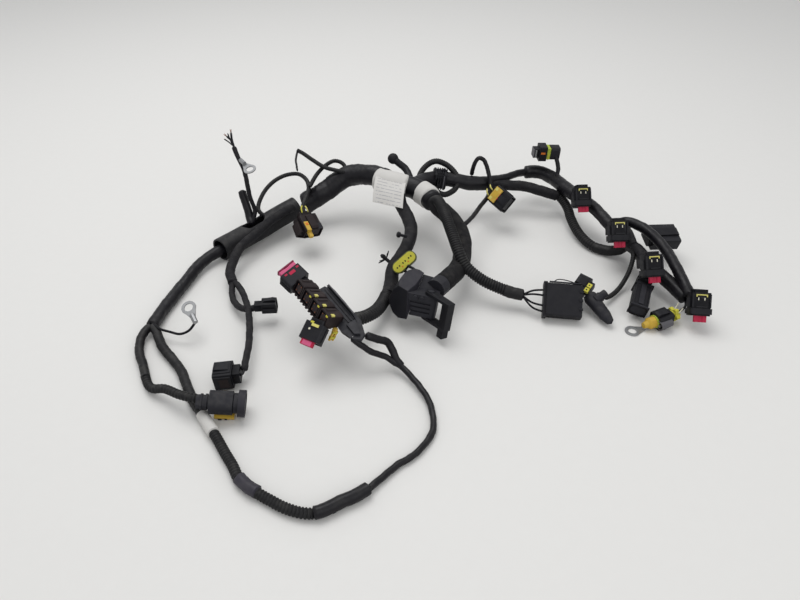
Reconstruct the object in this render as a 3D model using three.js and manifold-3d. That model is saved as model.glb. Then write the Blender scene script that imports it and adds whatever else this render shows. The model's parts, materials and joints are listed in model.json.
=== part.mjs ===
// Engine wiring harness, lying on a table as it was photographed: taped trunks, corrugated
// conduits, four coil connectors on a rail, a lever connector, a cluster of small plugs,
// sensor connectors, ring terminals and labels.
// Millimetres. X runs to the right, Y away from the viewer, Z up. The table is at Z = 0.

import * as THREE from 'three';
import { mergeVertices } from 'three/addons/utils/BufferGeometryUtils.js';
import Module from 'manifold-3d';

const wasm = await Module();
wasm.setup();
const { Manifold, Mesh } = wasm;

// Overall size. The routes below are drawn from a mark on the table, for a harness of the drawn
// length and width, and the group is moved so that the middle of the harness is over the origin.
const harnessLength = 545;
const harnessWidth = 471;
const drawnLength = 545;
const drawnWidth = 471;
const middle = [29, -19, 0];

// Gaps and walls
const clearance = 0.3;
const longestStep = 24;
const stepInDiameters = 2.6;
const sliverSize = 0.03;
const conduitWall = 1.8;
const conduitSides = 12;
const windowWidth = 17;
const windowLength = 30;
const wrapThickness = 1.6;

// Diameters of the bundles, sleeves and conduits
const trunkDiameter = 24;
const smoothConduitDiameter = 25;
const leftBundleDiameter = 12;
const bootConduitDiameter = 8;
const loopConduitDiameter = 8.6;
const loopTapeDiameter = 10;
const loopBundleDiameter = 5.5;
const tailDiameter = 7;
const sensorBundleDiameter = 10;
const sensorLegDiameter = 6.3;
const spareStubDiameter = 9;
const capStubDiameter = 8;
const capKnobDiameter = 12.5;
const thinConduitDiameter = 5;
const clusterSleeveDiameter = 14;
const clusterConduitDiameter = 13;
const leverSleeveDiameter = 19;
const relayConduitDiameter = 12;
const rightTrunkDiameter = 17;
const rightUpperDiameter = 9;
const rightLowerDiameter = 12;
const sideLoopDiameter = 7;
const shoulderDiameter = 16;
const railDiameter = 13.5;
const railUpperDiameter = 11;
const railLowerDiameter = 14;
const lowerConduitDiameter = 11;
const forkSleeveDiameter = 11;
const forkLegDiameter = 8;
const forkLeadDiameter = 4.8;
const wireDiameter = 2.4;

// Ring terminals
const ringOuterDiameter = 14;
const ringHoleDiameter = 8.4;
const ringThickness = 1.2;
const crimpDiameter = 5;
const crimpLength = 9;

// Coil connectors
const coilWidth = 18.5;
const coilDepth = 14;
const coilHeight = 25;
const coilSkirt = 1.3;
const coilNeck = 15;
const coilLockWidth = 11.5;
const coilLockThickness = 3;
const coilLockLength = 11.5;
const coilLockOut = 6;
const coilLockTravel = 3.5;
const lockInset = 1.4;

// Lever connector: the body's length, depth and height are along its own X, Y and Z
const leverBodyLength = 30;
const leverBodyDepth = 23;
const leverBodyHeight = 22;
const leverPinDiameter = 6;
const leverPinStandOut = 0.6;
const leverArmThickness = 2.6;
const leverArmWidth = 10.5;
const leverReach = 29;
const leverPinForward = 5;
const leverBarWidth = 8;
const leverTabLength = 8;
const leverRestAngle = -42;
const collarDiameter = 20;
const collarLength = 12;
const hoodBackDepth = 14;

// Plug cluster
const trayLength = 64;
const trayWidth = 17;
const trayThickness = 3.4;
const trayWallHeight = 7;
const trayWallThickness = 1.8;
const plugWidth = 13.4;
const plugHeight = 13.5;
const plugLength = 19;
const plugPitch = 14.2;
const plugCount = 4;
const endHousing = { width: 22, height: 16, length: 18 };
const endLock = { width: 18, thickness: 5, length: 10.5, out: 5, travel: 3 };
const sideHousing = { width: 19, height: 14, length: 20 };
const sideLock = { width: 12, thickness: 4, length: 9.5, out: 5, travel: 3 };

// Relay connector
const relayWidth = 33;
const relayThickness = 12;
const relayLength = 37;
const relayRim = 1.5;
const relaySocketDepth = 6;

// Slim connector
const slimLength = 50;
const slimWidth = 17;
const slimThickness = 13;
const slimNeckLength = 15;

// Boot connector
const bootWidth = 19;
const bootHeight = 14.5;
const bootLength = 25;
const bootRimOver = 3;

// Routes chosen by hand, as points along each centre line
const route = {
  leftBundle: [[-124, 148, 21], [-140, 135, 17], [-160, 115, 13.5], [-179, 95, 12], [-195, 76, 11.5],
    [-204, 67, 10], [-214, 51, 8.5], [-221, 27, 7], [-227, 2, 6.2], [-232, -22, 6.2], [-235, -50, 7]],
  smoothConduit: [[-196, 73, 12.8], [-179, 94, 13], [-160, 114, 15], [-140, 135, 18], [-122, 150, 22]],
  trunk: [[-114, 148, 26], [-96, 155, 34], [-80, 162, 42], [-64, 169, 51], [-46, 167, 56], [-25, 156, 58],
    [-6, 143, 57], [14, 137, 54], [31, 125, 50], [38, 112, 48]],
  capStub: [[12, 146, 60], [7, 158, 66], [-2, 164, 72], [-8, 168, 75]],
  crossConduit: [[-104, 147, 50], [-96, 170, 56], [-87, 178, 62], [-77, 185, 64], [-67, 181, 62],
    [-62, 170, 54]],
  kinkedConduit: [[-62, 165, 58], [-69, 162, 62], [-87, 168, 64], [-104, 183, 67], [-115, 191, 71],
    [-122, 193, 74]],
  kinkedWire: [[-121, 193, 73], [-122, 180, 68], [-119, 166, 60]],
  bootConduit: [[-236, -50, 8], [-240, -62, 7], [-237, -82, 5], [-228, -100, 4.3], [-216, -124, 4.4],
    [-209, -131, 7], [-197, -136, 12], [-181, -146, 15.5], [-168, -152, 18], [-158, -154, 18]],
  loopConduit: [[-234, -50, 7.5], [-227, -60, 7], [-218, -76, 5.5], [-205, -91, 4.4], [-193, -106, 4.4],
    [-182, -126, 4.4], [-173, -142, 4.4], [-163, -156, 5.2], [-151, -173, 5.6], [-143, -184, 5],
    [-135, -196, 4.4], [-126, -209, 4.4], [-118, -222, 4.4], [-103, -233, 4.4], [-93, -239, 4.4],
    [-82, -245, 4.4], [-70, -249, 4.4], [-60, -250, 4.4]],
  loopTapeShort: [[-120, -219, 5], [-112, -227, 5], [-102, -233.5, 5]],
  loopTapeLong: [[-62, -250, 5], [-53, -247, 5], [-43, -241, 5], [-30, -234, 5], [-22, -228, 5]],
  loopBundle: [[-24, -230, 4], [-12, -217, 3.2], [-2, -207, 3], [10, -198, 3], [20, -186, 3], [26, -174, 3],
    [27, -158, 3.4], [24, -142, 4.4], [18, -130, 6], [10, -117, 7], [2, -107, 9], [-5, -103, 11],
    [-13, -100, 15], [-24, -102, 22], [-34, -101, 30], [-42, -99, 36]],
  upperTail: [[-30, -95, 36], [-22, -94, 31], [-11, -91, 24], [-7, -94, 18], [-3, -101, 12], [2, -107, 9]],
  sensorBundle: [[-122, 133, 31], [-129, 125, 32], [-147, 107, 27], [-160, 89, 22], [-172, 66, 20],
    [-176, 49, 16], [-177, 31, 13], [-170, 13, 11]],
  shortLeg: [[-171, 15, 11], [-170, 4, 9], [-165, -12, 9], [-154, -28, 12], [-143, -34, 16],
    [-136, -33, 18]],
  longLeg: [[-170, 16, 11], [-164, 8, 12], [-154, -12, 16], [-145, -36, 16], [-140, -57, 15],
    [-136, -84, 14], [-135, -103, 14], [-134, -116, 14]],
  longLegWires: [[-134, -114, 14], [-135, -120, 13], [-140, -118, 12]],
  spareStub: [[-168, 112, 20], [-171, 120, 25], [-174, 127, 34], [-178, 134, 44], [-180, 139, 50]],
  spareBundle: [[-168, 114, 21], [-165, 124, 32], [-169, 128, 46], [-172, 136, 62], [-176, 146, 74],
    [-182, 153, 84], [-187, 160, 94]],
  spareWires: [
    [[-187, 160, 94], [-190, 165, 99], [-195, 167, 103]],
    [[-186, 159, 93], [-189, 166, 100], [-190, 171, 106]],
  ],
  upperRingWire: [[-179, 149, 79], [-178, 147, 83], [-175, 143, 83]],
  leftRingWire: [[-236, -46, 9], [-230, -53, 11], [-224, -58, 11], [-214, -61, 10], [-204, -64, 10],
    [-195, -64, 14], [-190, -61, 19], [-188.5, -59, 21]],
  thinLoop: [[-152, 124, 22], [-163, 133, 28], [-160, 150, 38], [-149, 167, 46], [-135, 176, 50],
    [-121, 179, 50], [-111, 170, 48], [-106, 154, 46], [-106, 132, 46], [-108, 112, 43], [-106, 104, 40]],
  clusterSleeve: [[-2, 130, 52], [1, 113, 46], [8, 94, 42], [12, 77, 37], [9, 58, 32], [1, 40, 26],
    [-7, 27, 20], [-9, 9, 15], [-12, -12, 14]],
  clusterConduit: [[-13, -8, 14], [-16, -21, 15], [-23, -40, 18], [-33, -54, 22], [-42, -62, 26]],
  leverSleeve: [[36, 120, 49], [42, 104, 48], [54, 88, 44], [63, 72, 38], [66, 58, 33], [65, 44, 30],
    [62, 26, 28.5], [56.5, 12, 28], [48.5, -2, 29.5], [40, -15, 31]],
  relayConduit: [[33, 116, 46], [41, 100, 58], [47, 74, 57], [54, 44, 49], [60, 22, 40], [66, 12, 33],
    [81, 1, 25], [99, -7, 20], [113, -11, 17], [122, -13, 16]],
  relayWires: [
    [[120, -12.5, 16], [130, -12, 21], [141, -12, 22]],
    [[120, -12.5, 16], [130, -15, 19], [141, -17, 19]],
    [[120, -13, 16], [129, -22, 14], [141, -26, 13]],
    [[120, -13, 16], [129, -26, 11], [141, -31, 9]],
  ],
  sideLoop: [[22, 150, 48], [24, 172, 54], [32, 180, 61], [42, 182, 65], [54, 182, 61], [63, 177, 55],
    [68, 171, 48], [66, 164, 40], [60, 160, 36], [52, 158, 34], [44, 159, 37], [38, 163, 43]],
  rightTrunk: [[16, 142, 54], [28, 160, 51], [43, 172, 48], [65, 173, 45], [83, 172, 42], [107, 175, 40]],
  rightUpper: [[92, 174, 43], [107, 178, 43], [127, 188, 41], [146, 204, 38.5], [157, 210, 37.5]],
  rightLower: [[94, 173, 39], [110, 178, 37], [130, 178, 35.5], [148, 179, 34], [167, 174, 31],
    [180, 172, 28], [190, 171, 25]],
  tallArch: [[85, 180, 48], [87, 178, 62], [92, 180, 70], [98, 179, 68], [103, 172, 58], [106, 160, 44],
    [103, 152, 36], [92, 131, 34], [80, 103, 36], [70, 84, 38]],
  shoulder: [[153, 209, 37.5], [172, 210, 37], [186, 197, 36], [196, 172, 36], [206, 150, 36]],
  rail: [[204, 155, 36], [212, 143, 35], [220, 129, 34], [226, 110, 33], [233, 90, 31], [240, 80, 30]],
  railUpper: [[236, 88, 32], [247, 95, 35], [260, 84, 36], [270, 63, 35], [276, 40, 32], [278, 14, 29],
    [280, -8, 24], [282, -20, 20]],
  railLower: [[236, 90, 28], [242, 72, 25], [251, 55, 24], [259, 29, 21], [269, 10, 18], [276, -6, 16],
    [280, -18, 15]],
  groundWires: [[281, -16, 14], [278, -24, 11], [272, -29, 9], [266, -33, 9]],
  lowerConduit: [[188, 176, 26], [195, 166, 22], [199, 153, 18], [200, 137, 14], [205, 111, 9],
    [215, 92, 6], [228, 82, 6], [240, 76, 10], [246, 74, 16]],
  topLead: [[188, 208, 62], [189, 201, 58], [191, 195, 50], [189, 188, 40]],
  forkSleeve: [[241, 76, 38], [243, 64, 35], [245, 53, 30]],
  forkLeft: [[245, 56, 31], [244, 44, 24], [238, 30, 15], [226, 14, 6], [213, 0, 5.5], [205, -7, 8]],
  forkRight: [[245, 56, 31], [249, 41, 30], [249, 30, 27], [249, 26, 26]],
  forkLeads: [[249, 28, 26], [249, 19, 21], [247, 8, 17.5]],
};

const lengthwise = harnessLength / drawnLength;
const widthwise = harnessWidth / drawnWidth;
const vector = ([x, y, z]) => new THREE.Vector3(x * lengthwise, y * widthwise, z);
const degrees = (angle) => angle * Math.PI / 180;

// Solids from three.js geometry, and back

function solidOf(geometry) {
  const bare = new THREE.BufferGeometry();
  bare.setAttribute('position', geometry.getAttribute('position'));
  bare.setIndex(geometry.getIndex());
  const merged = mergeVertices(bare, 1e-4);
  return new Manifold(new Mesh({
    numProp: 3,
    vertProperties: new Float32Array(merged.getAttribute('position').array),
    triVerts: new Uint32Array(merged.getIndex().array),
  }));
}

function geometryOf(solid) {
  const mesh = solid.getMesh();
  const geometry = new THREE.BufferGeometry();
  geometry.setAttribute('position', new THREE.BufferAttribute(mesh.vertProperties, 3));
  geometry.setIndex(new THREE.BufferAttribute(mesh.triVerts, 1));
  geometry.computeVertexNormals();
  return geometry;
}

function joined(...solids) {
  return solids.reduce((whole, next) => whole.add(next));
}

function largest(solid) {
  return solid.decompose().reduce((best, next) => (next.volume() > best.volume() ? next : best));
}

// Sections and simple forms

function circleSection(diameter, sides) {
  const points = [];
  for (let i = 0; i < sides; i += 1) {
    const angle = 2 * Math.PI * i / sides;
    points.push(new THREE.Vector2(Math.cos(angle) * diameter / 2, Math.sin(angle) * diameter / 2));
  }
  return new THREE.Shape(points);
}

function roundedSection(width, height, radius) {
  const x = width / 2;
  const y = height / 2;
  const r = Math.min(radius, x * 0.98, y * 0.98);
  const shape = new THREE.Shape();
  shape.moveTo(x, -y + r);
  shape.lineTo(x, y - r);
  shape.absarc(x - r, y - r, r, 0, Math.PI / 2);
  shape.lineTo(-x + r, y);
  shape.absarc(-x + r, y - r, r, Math.PI / 2, Math.PI);
  shape.lineTo(-x, -y + r);
  shape.absarc(-x + r, -y + r, r, Math.PI, 1.5 * Math.PI);
  shape.lineTo(x - r, -y);
  shape.absarc(x - r, -y + r, r, 1.5 * Math.PI, 2 * Math.PI);
  return shape;
}

// A section pushed along +X from one place to another; its width lies along Y, its height along Z
function pushed(section, from, to, cornerSteps = 1) {
  const geometry = new THREE.ExtrudeGeometry(section, {
    depth: to - from, bevelEnabled: false, curveSegments: cornerSteps,
  });
  geometry.applyMatrix4(new THREE.Matrix4().makeBasis(
    new THREE.Vector3(0, 1, 0), new THREE.Vector3(0, 0, 1), new THREE.Vector3(1, 0, 0)));
  return solidOf(geometry).translate([from, 0, 0]);
}

// An outline in the X-Y plane pushed up, from one height to another
function plate(points, from, to) {
  const outline = new THREE.Shape(points.map(([x, y]) => new THREE.Vector2(x, y)));
  const geometry = new THREE.ExtrudeGeometry(outline, { depth: to - from, bevelEnabled: false });
  return solidOf(geometry).translate([0, 0, from]);
}

// An outline in the X-Z plane pushed sideways, centred on Y = 0
function sideProfile(points, width) {
  const outline = new THREE.Shape(points.map(([x, z]) => new THREE.Vector2(x, z)));
  const geometry = new THREE.ExtrudeGeometry(outline, { depth: width, bevelEnabled: false });
  geometry.rotateX(Math.PI / 2);
  return solidOf(geometry).translate([0, width / 2, 0]);
}

function box(x0, x1, y0, y1, z0, z1) {
  const geometry = new THREE.BoxGeometry(x1 - x0, y1 - y0, z1 - z0);
  return solidOf(geometry).translate([(x0 + x1) / 2, (y0 + y1) / 2, (z0 + z1) / 2]);
}

// Turned forms, with the axis along +X
function turned(profile, sides = 16) {
  const geometry = new THREE.LatheGeometry(profile.map(([x, r]) => new THREE.Vector2(r, x)), sides);
  const solid = solidOf(geometry.rotateZ(-Math.PI / 2));
  return solid.volume() < 0 ? solidOf(geometry.scale(1, 1, -1)) : solid;
}

// Tubes along a route

function stretched(points, by) {
  const ends = points.map(vector);
  const first = ends[0].clone().sub(ends[1]).setLength(by).add(ends[0]);
  const beforeLast = ends[ends.length - 2];
  const last = ends[ends.length - 1].clone().sub(beforeLast).setLength(by).add(ends[ends.length - 1]);
  return [first, ...ends.slice(1, -1), last];
}

function smoothCurve(points) {
  return new THREE.CatmullRomCurve3(points, false, 'centripetal');
}

// The steps come from the plain route, so that a tube and its clearance shape have the same facets
function tube(points, diameter, extra = 0, sides = diameter < 20 ? 8 : 10) {
  const step = Math.min(stepInDiameters * diameter, longestStep);
  const steps = Math.round(smoothCurve(points.map(vector)).getLength() / step);
  return solidOf(new THREE.ExtrudeGeometry(circleSection(diameter + 2 * extra, sides), {
    steps: THREE.MathUtils.clamp(steps, 2, 80),
    extrudePath: smoothCurve(stretched(points, extra)),
    bevelEnabled: false,
  }));
}

// A cable made of one or more stretches, each with its points and diameter
function cable(...stretches) {
  return {
    solid: joined(...stretches.map(([points, diameter]) => tube(points, diameter))),
    clear: joined(...stretches.map(([points, diameter]) => tube(points, diameter, clearance))),
  };
}

// A rigid piece: its own clearance shape is a union of slightly moved copies
function rigid(solid) {
  const moves = [[1, 0, 0], [-1, 0, 0], [0, 1, 0], [0, -1, 0], [0, 0, 1], [0, 0, -1]];
  const copies = moves.map((move) => solid.translate(move.map((value) => value * clearance)));
  return { solid, clear: joined(solid, ...copies) };
}

// A frame with its local +X along forward and its local +Z near up, at a position in millimetres
function frameAt(position, forward, up = [0, 0, 1]) {
  const x = new THREE.Vector3(...forward).normalize();
  const y = new THREE.Vector3(...up).cross(x).normalize();
  const z = new THREE.Vector3().crossVectors(x, y);
  return new THREE.Matrix4().makeBasis(x, y, z).setPosition(...position);
}

// The same at a drawn place, which moves with the overall size as the routes do
function frame(place, forward, up) {
  return frameAt(vector(place).toArray(), forward, up);
}

function pointIn(matrix, x, y, z) {
  return new THREE.Vector3(x, y, z).applyMatrix4(matrix).toArray();
}

function directionIn(matrix, x, y, z) {
  return new THREE.Vector3(x, y, z).transformDirection(matrix).toArray();
}

function moved(matrix, x, y = 0, z = 0) {
  return matrix.clone().setPosition(...pointIn(matrix, x, y, z));
}

function inFrame(solid, matrix) {
  return solid.transform(matrix.elements);
}

// The harness, built piece by piece: each new piece is cut clear of those already placed

const harness = new THREE.Group();
harness.position.copy(vector(middle).negate());
const placed = [];

// Pieces made as one, such as a cable with a knob on it
function fused(...pieces) {
  return {
    solid: joined(...pieces.map((piece) => piece.solid)),
    clear: joined(...pieces.map((piece) => piece.clear)),
  };
}

function add(name, piece, look) {
  let solid = piece.solid;
  for (const other of placed) {
    solid = solid.subtract(other.clear);
  }
  solid = largest(solid).simplify(sliverSize);
  placed.push(piece);
  const mesh = new THREE.Mesh(geometryOf(solid), new THREE.MeshStandardMaterial(look));
  mesh.name = name;
  harness.add(mesh);
}

const tape = { color: '#1b1a1d', roughness: 0.5, metalness: 0 };
const conduit = { color: '#202022', roughness: 0.55, metalness: 0 };
const textile = { color: '#1d1c1f', roughness: 0.8, metalness: 0 };
const plastic = { color: '#202023', roughness: 0.45, metalness: 0 };
const rubber = { color: '#26262a', roughness: 0.7, metalness: 0 };
const greyPlastic = { color: '#4a4a4c', roughness: 0.5, metalness: 0 };
const yellow = { color: '#c9b52f', roughness: 0.5, metalness: 0 };
const amber = { color: '#d8a531', roughness: 0.45, metalness: 0 };
const red = { color: '#a3243f', roughness: 0.45, metalness: 0 };
const pink = { color: '#c4557a', roughness: 0.5, metalness: 0 };
const paper = { color: '#dcdad2', roughness: 0.7, metalness: 0 };
const tin = { color: '#a9a7a2', roughness: 0.35, metalness: 0.9 };

// Trunks and thick branches

const capKnob = Manifold.sphere(capKnobDiameter / 2, 12).translate(vector(route.capStub.at(-1)).toArray());
const trunkCables = cable(
  [route.trunk, trunkDiameter],
  [route.capStub, capStubDiameter],
  [route.kinkedConduit, thinConduitDiameter],
  [route.kinkedWire, wireDiameter],
  [route.crossConduit, thinConduitDiameter],
);
add('main_trunk', fused(trunkCables, rigid(capKnob)), tape);

add('left_bundle', cable(
  [route.leftBundle, leftBundleDiameter],
  [route.leftRingWire, wireDiameter],
), tape);

// The smooth conduit is hollow, open at both ends, with an oval window where the spare wires leave
function windowedConduit() {
  const windowFrame = frame([-165, 108, 16], [-0.1, 0.35, 1], [0.68, 0.72, 0]);
  const section = roundedSection(windowWidth, windowLength, windowWidth / 2 - 0.5);
  const window = inFrame(pushed(section, 0, smoothConduitDiameter, 2), windowFrame);
  const bore = tube(route.smoothConduit, smoothConduitDiameter - 2 * conduitWall, 0.5, conduitSides);
  const space = bore.add(window);
  return {
    solid: tube(route.smoothConduit, smoothConduitDiameter, 0, conduitSides).subtract(space),
    clear: tube(route.smoothConduit, smoothConduitDiameter, clearance, conduitSides).subtract(space),
  };
}
add('smooth_conduit', windowedConduit(), conduit);

add('right_trunk', cable(
  [route.rightTrunk, rightTrunkDiameter],
  [route.rightUpper, rightUpperDiameter],
  [route.rightLower, rightLowerDiameter],
  [route.sideLoop, sideLoopDiameter],
  [route.tallArch, thinConduitDiameter],
), tape);
add('cluster_branch', cable(
  [route.clusterSleeve, clusterSleeveDiameter],
  [route.clusterConduit, clusterConduitDiameter],
), tape);
add('lever_sleeve', cable([route.leverSleeve, leverSleeveDiameter]), textile);
add('relay_branch', cable(
  [route.relayConduit, relayConduitDiameter],
  ...route.relayWires.map((points) => [points, wireDiameter]),
), conduit);
add('rail_upper', cable(
  [route.shoulder, shoulderDiameter],
  [route.rail, railDiameter],
  [route.railUpper, railUpperDiameter],
  [route.topLead, thinConduitDiameter],
), tape);
add('rail_lower', cable(
  [route.railLower, railLowerDiameter],
  [route.lowerConduit, lowerConduitDiameter],
  [route.groundWires, wireDiameter],
), tape);
add('fork_branch', cable(
  [route.forkSleeve, forkSleeveDiameter],
  [route.forkLeft, thinConduitDiameter],
  [route.forkRight, forkLegDiameter],
  [route.forkLeads, forkLeadDiameter],
), tape);

// Thin branches

add('loop_conduit', cable(
  [route.loopConduit, loopConduitDiameter],
  [route.loopTapeShort, loopTapeDiameter],
  [route.loopTapeLong, loopTapeDiameter],
), conduit);
add('boot_branch', cable([route.bootConduit, bootConduitDiameter]), conduit);
add('loop_bundle', cable(
  [route.loopBundle, loopBundleDiameter],
  [route.upperTail, tailDiameter],
), tape);
add('sensor_branch', cable(
  [route.sensorBundle, sensorBundleDiameter],
  [route.shortLeg, sensorLegDiameter],
  [route.longLeg, sensorLegDiameter],
  [route.longLegWires, wireDiameter],
), tape);
add('spare_branch', cable(
  [route.spareStub, spareStubDiameter],
  [route.spareBundle, thinConduitDiameter],
  [route.upperRingWire, wireDiameter],
  ...route.spareWires.map((points) => [points, wireDiameter]),
), tape);
add('thin_loop', cable([route.thinLoop, thinConduitDiameter]), conduit);

// Labels and tape bands: rings around the cable that they wrap

function wrap(points, diameter, thickness, sides = 12) {
  return rigid(tube(points, diameter + 2 * clearance + 2 * thickness, 0, sides));
}
const trunkLabelPoints = [[-28, 153, 57], [-6, 141, 57], [10, 136, 54.8]];
const trunkBandPoints = [[20, 134.5, 53], [31, 125, 50], [35, 118, 49]];
const loopLabelPoints = [[-162, -157.5, 5.5], [-151, -173, 5.6], [-147, -178.5, 5.5]];
add('trunk_label', wrap(trunkLabelPoints, trunkDiameter, wrapThickness), paper);
add('trunk_band', wrap(trunkBandPoints, trunkDiameter, wrapThickness), paper);
add('loop_label', wrap(loopLabelPoints, loopConduitDiameter, wrapThickness / 2), paper);

// Ring terminals: a flat eye, a tongue and a crimp barrel, along +X from the crimp

function ringTerminal() {
  const centre = crimpLength + ringOuterDiameter * 0.75;
  const nearHole = centre - ringHoleDiameter / 2 - 0.8;
  const eye = circleSection(ringOuterDiameter, 14);
  eye.holes.push(new THREE.Path(circleSection(ringHoleDiameter, 12).getPoints()));
  const flat = new THREE.ExtrudeGeometry(eye, { depth: ringThickness, bevelEnabled: false });
  const root = crimpDiameter / 2 - 0.4;
  const shoulder = ringOuterDiameter * 0.36;
  const tongue = plate([[crimpLength - 2, -root], [nearHole, -shoulder], [nearHole, shoulder],
    [crimpLength - 2, root]], 0, ringThickness);
  const barrel = pushed(circleSection(crimpDiameter, 8), 0, crimpLength);
  return joined(solidOf(flat).translate([centre, 0, 0]), tongue, barrel.translate([0, 0, crimpDiameter / 2]));
}

// Ground lead: seal, clip, sleeve and ring terminal, one behind the other
const groundSealLength = 7.2;
const groundClipLength = 17;
const groundSleeveLength = 11;
const groundFrame = frame([267, -33, 9.8], [-0.9, -0.36, -0.1]);
const sleeveFrame = moved(groundFrame, groundSealLength + groundClipLength - 1);
const [ringX, ringY] = pointIn(sleeveFrame, groundSleeveLength / 2, 0, 0);
const ringFrames = {
  left: frame([-187.4, -61, 20], [-0.5, 0.8, 0.3], [0, -0.5, 0.8]),
  upper: frame([-177, 145.5, 82], [0.6, -0.75, -0.1], [0, -0.4, 0.9]),
  right: frameAt([ringX, ringY, 0], [-1, -0.28, 0]),
};
for (const [side, ringFrame] of Object.entries(ringFrames)) {
  add(`ring_terminal_${side}`, rigid(inFrame(ringTerminal(), ringFrame)), tin);
}

// Coil connectors: an upright sealed housing with a cap, a skirt, a window for the seal strip, two
// slits and a sliding lock in a pocket at its foot. Local X is the width, -Y the front, Z the height.

function standing(width, depth, from, to, radius) {
  return solidOf(new THREE.ExtrudeGeometry(roundedSection(width, depth, radius), {
    depth: to - from, bevelEnabled: false, curveSegments: 1,
  })).translate([0, 0, from]);
}

const coilTop = coilHeight / 2;
const coilFront = -coilDepth / 2;

function coilHousing() {
  const body = standing(coilWidth, coilDepth, -coilTop, coilTop - 3, 2.5);
  const around = 2 * coilSkirt;
  const skirt = standing(coilWidth + around, coilDepth + around, -coilTop + 1.5, -coilTop + 7, 3);
  const cap = standing(coilWidth - 5, coilDepth - 3, coilTop - 4, coilTop, 2.5);
  const window = box(-5.5, 5.5, coilFront - 1, coilFront + 0.8, coilTop - 6.2, coilTop - 4.4);
  const slits = [-2.8, 2.8].map((x) => (
    box(x - 0.6, x + 0.6, coilFront - 1, coilFront + 0.9, coilTop - 10.5, coilTop - 7.8)));
  const pocketDepth = coilLockLength - coilLockOut + coilLockTravel + clearance;
  const pocketHalf = coilLockWidth / 2 + clearance;
  const pocketFront = coilFront + lockInset - clearance;
  const pocketBack = coilFront + lockInset + coilLockThickness + clearance;
  const pocket = box(-pocketHalf, pocketHalf, pocketFront, pocketBack, -coilTop - 1, -coilTop + pocketDepth);
  const neck = box(-5, 5, -coilFront - 1, -coilFront + coilNeck, -3, 6);
  return joined(body, skirt, cap, neck).subtract(joined(window, ...slits, pocket));
}

function coilLock() {
  const front = coilFront + lockInset;
  const foot = -coilTop - coilLockOut;
  const half = coilLockWidth / 2;
  const plateSolid = box(-half, half, front, front + coilLockThickness, foot, foot + coilLockLength);
  const groove = box(-half / 3, half / 3, front - 1, front + 0.7, foot - 1, foot + coilLockLength + 1);
  return plateSolid.subtract(groove);
}

const coilTilt = -38;
const coilPlaces = [
  { place: [205, 130, 47], turn: 4 },
  { place: [229, 64, 43], turn: 3 },
  { place: [248, 7, 39], turn: 6 },
  { place: [283, -36, 25], turn: -6 },
];
coilPlaces.forEach(({ place, turn }, index) => {
  const matrix = new THREE.Matrix4().makeRotationZ(degrees(turn))
    .multiply(new THREE.Matrix4().makeRotationX(degrees(coilTilt)));
  matrix.setPosition(vector(place));
  add(`coil_connector_${index + 1}`, rigid(inFrame(coilHousing(), matrix)), plastic);
  add(`coil_lock_${index + 1}`, rigid(inFrame(coilLock(), matrix)), red);
});

// Plug housings: a neck, a shell with a ring-shaped socket around its core, a latch and side ribs.
// Local +X points from the cable to the mating face.

function plugHousing({
  width, height, length, neck = 5, radius = 2, wall = 1.2, socket = 5, latch = true, ribs = false,
}) {
  const coreGap = 1.6;
  const innerWidth = width - 2 * wall;
  const innerHeight = height - 2 * wall;
  const shell = pushed(roundedSection(width, height, radius), neck, length);
  const neckPart = pushed(roundedSection(width * 0.72, height * 0.72, radius), 0, neck + 0.5);
  const hole = pushed(roundedSection(innerWidth, innerHeight, radius / 2), length - socket, length + 1);
  const coreY = innerWidth / 2 - coreGap;
  const coreZ = innerHeight / 2 - coreGap;
  const core = box(length - socket - 0.5, length - 0.8, -coreY, coreY, -coreZ, coreZ);
  const extras = [];
  if (latch) {
    const top = height / 2;
    const outline = [[neck + 1, top - 0.4], [length - 0.5, top - 0.4], [length - 0.5, top + 1.8],
      [length - 3, top + 2.4], [neck + 3, top + 1.4]];
    extras.push(sideProfile(outline, width * 0.4));
  }
  if (ribs) {
    extras.push(box(neck + 1, length - 2, width / 2 - 0.4, width / 2 + 0.9, -1, 1));
    extras.push(box(neck + 1, length - 2, -width / 2 - 0.9, -width / 2 + 0.4, -1, 1));
  }
  return joined(shell.subtract(hole), neckPart, core, ...extras);
}

// Plug cluster: a beaked tray with a wall, four plugs in a row, a connector with a sliding lock at
// its upper end and another at its side. Everything in it is placed from the tray.

const trayFrame = frame([-68, -50, 45], [0.57, -0.81, -0.13], [0, -0.3, 0.95]);

function clusterTray() {
  const left = -trayWidth / 2;
  const right = trayWidth / 2;
  const shoulder = trayLength * 0.72;
  const floor = plate([[-8, left + 4], [10, left], [shoulder, left - 2], [trayLength - 6, left + 1],
    [trayLength, -2], [trayLength - 3, 4], [shoulder, right + 1], [2, right], [-8, right - 4]],
  -trayThickness / 2, trayThickness / 2);
  const wallOutline = [[-6, 0], [shoulder + 2, 0], [shoulder - 4, trayWallHeight * 0.6],
    [trayLength * 0.4, trayWallHeight], [6, trayWallHeight], [-6, trayWallHeight * 0.5]];
  const wall = sideProfile(wallOutline, trayWallThickness).translate([0, right - trayWallThickness, 0]);
  const beak = plate([[shoulder - 2, -4], [trayLength - 7, -4], [trayLength - 4, 0], [shoulder - 2, 5]],
    0, trayThickness + 1);
  return joined(floor, wall, beak);
}
add('cluster_tray', rigid(inFrame(clusterTray(), trayFrame)), greyPlastic);

const trayForward = directionIn(trayFrame, 1, 0, 0);
const plugForward = directionIn(trayFrame, 0, -0.8, 0.6);
const rowStart = -10;
for (let i = 0; i < plugCount; i += 1) {
  const seat = pointIn(trayFrame, rowStart + i * plugPitch, -trayWidth / 2 + 4, 2);
  const plug = plugHousing({
    width: plugHeight, height: plugWidth, length: plugLength, neck: 4, socket: 4, latch: false,
  });
  add(`cluster_plug_${i + 1}`, rigid(inFrame(plug, frameAt(seat, plugForward, trayForward))), plastic);
}

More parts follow.
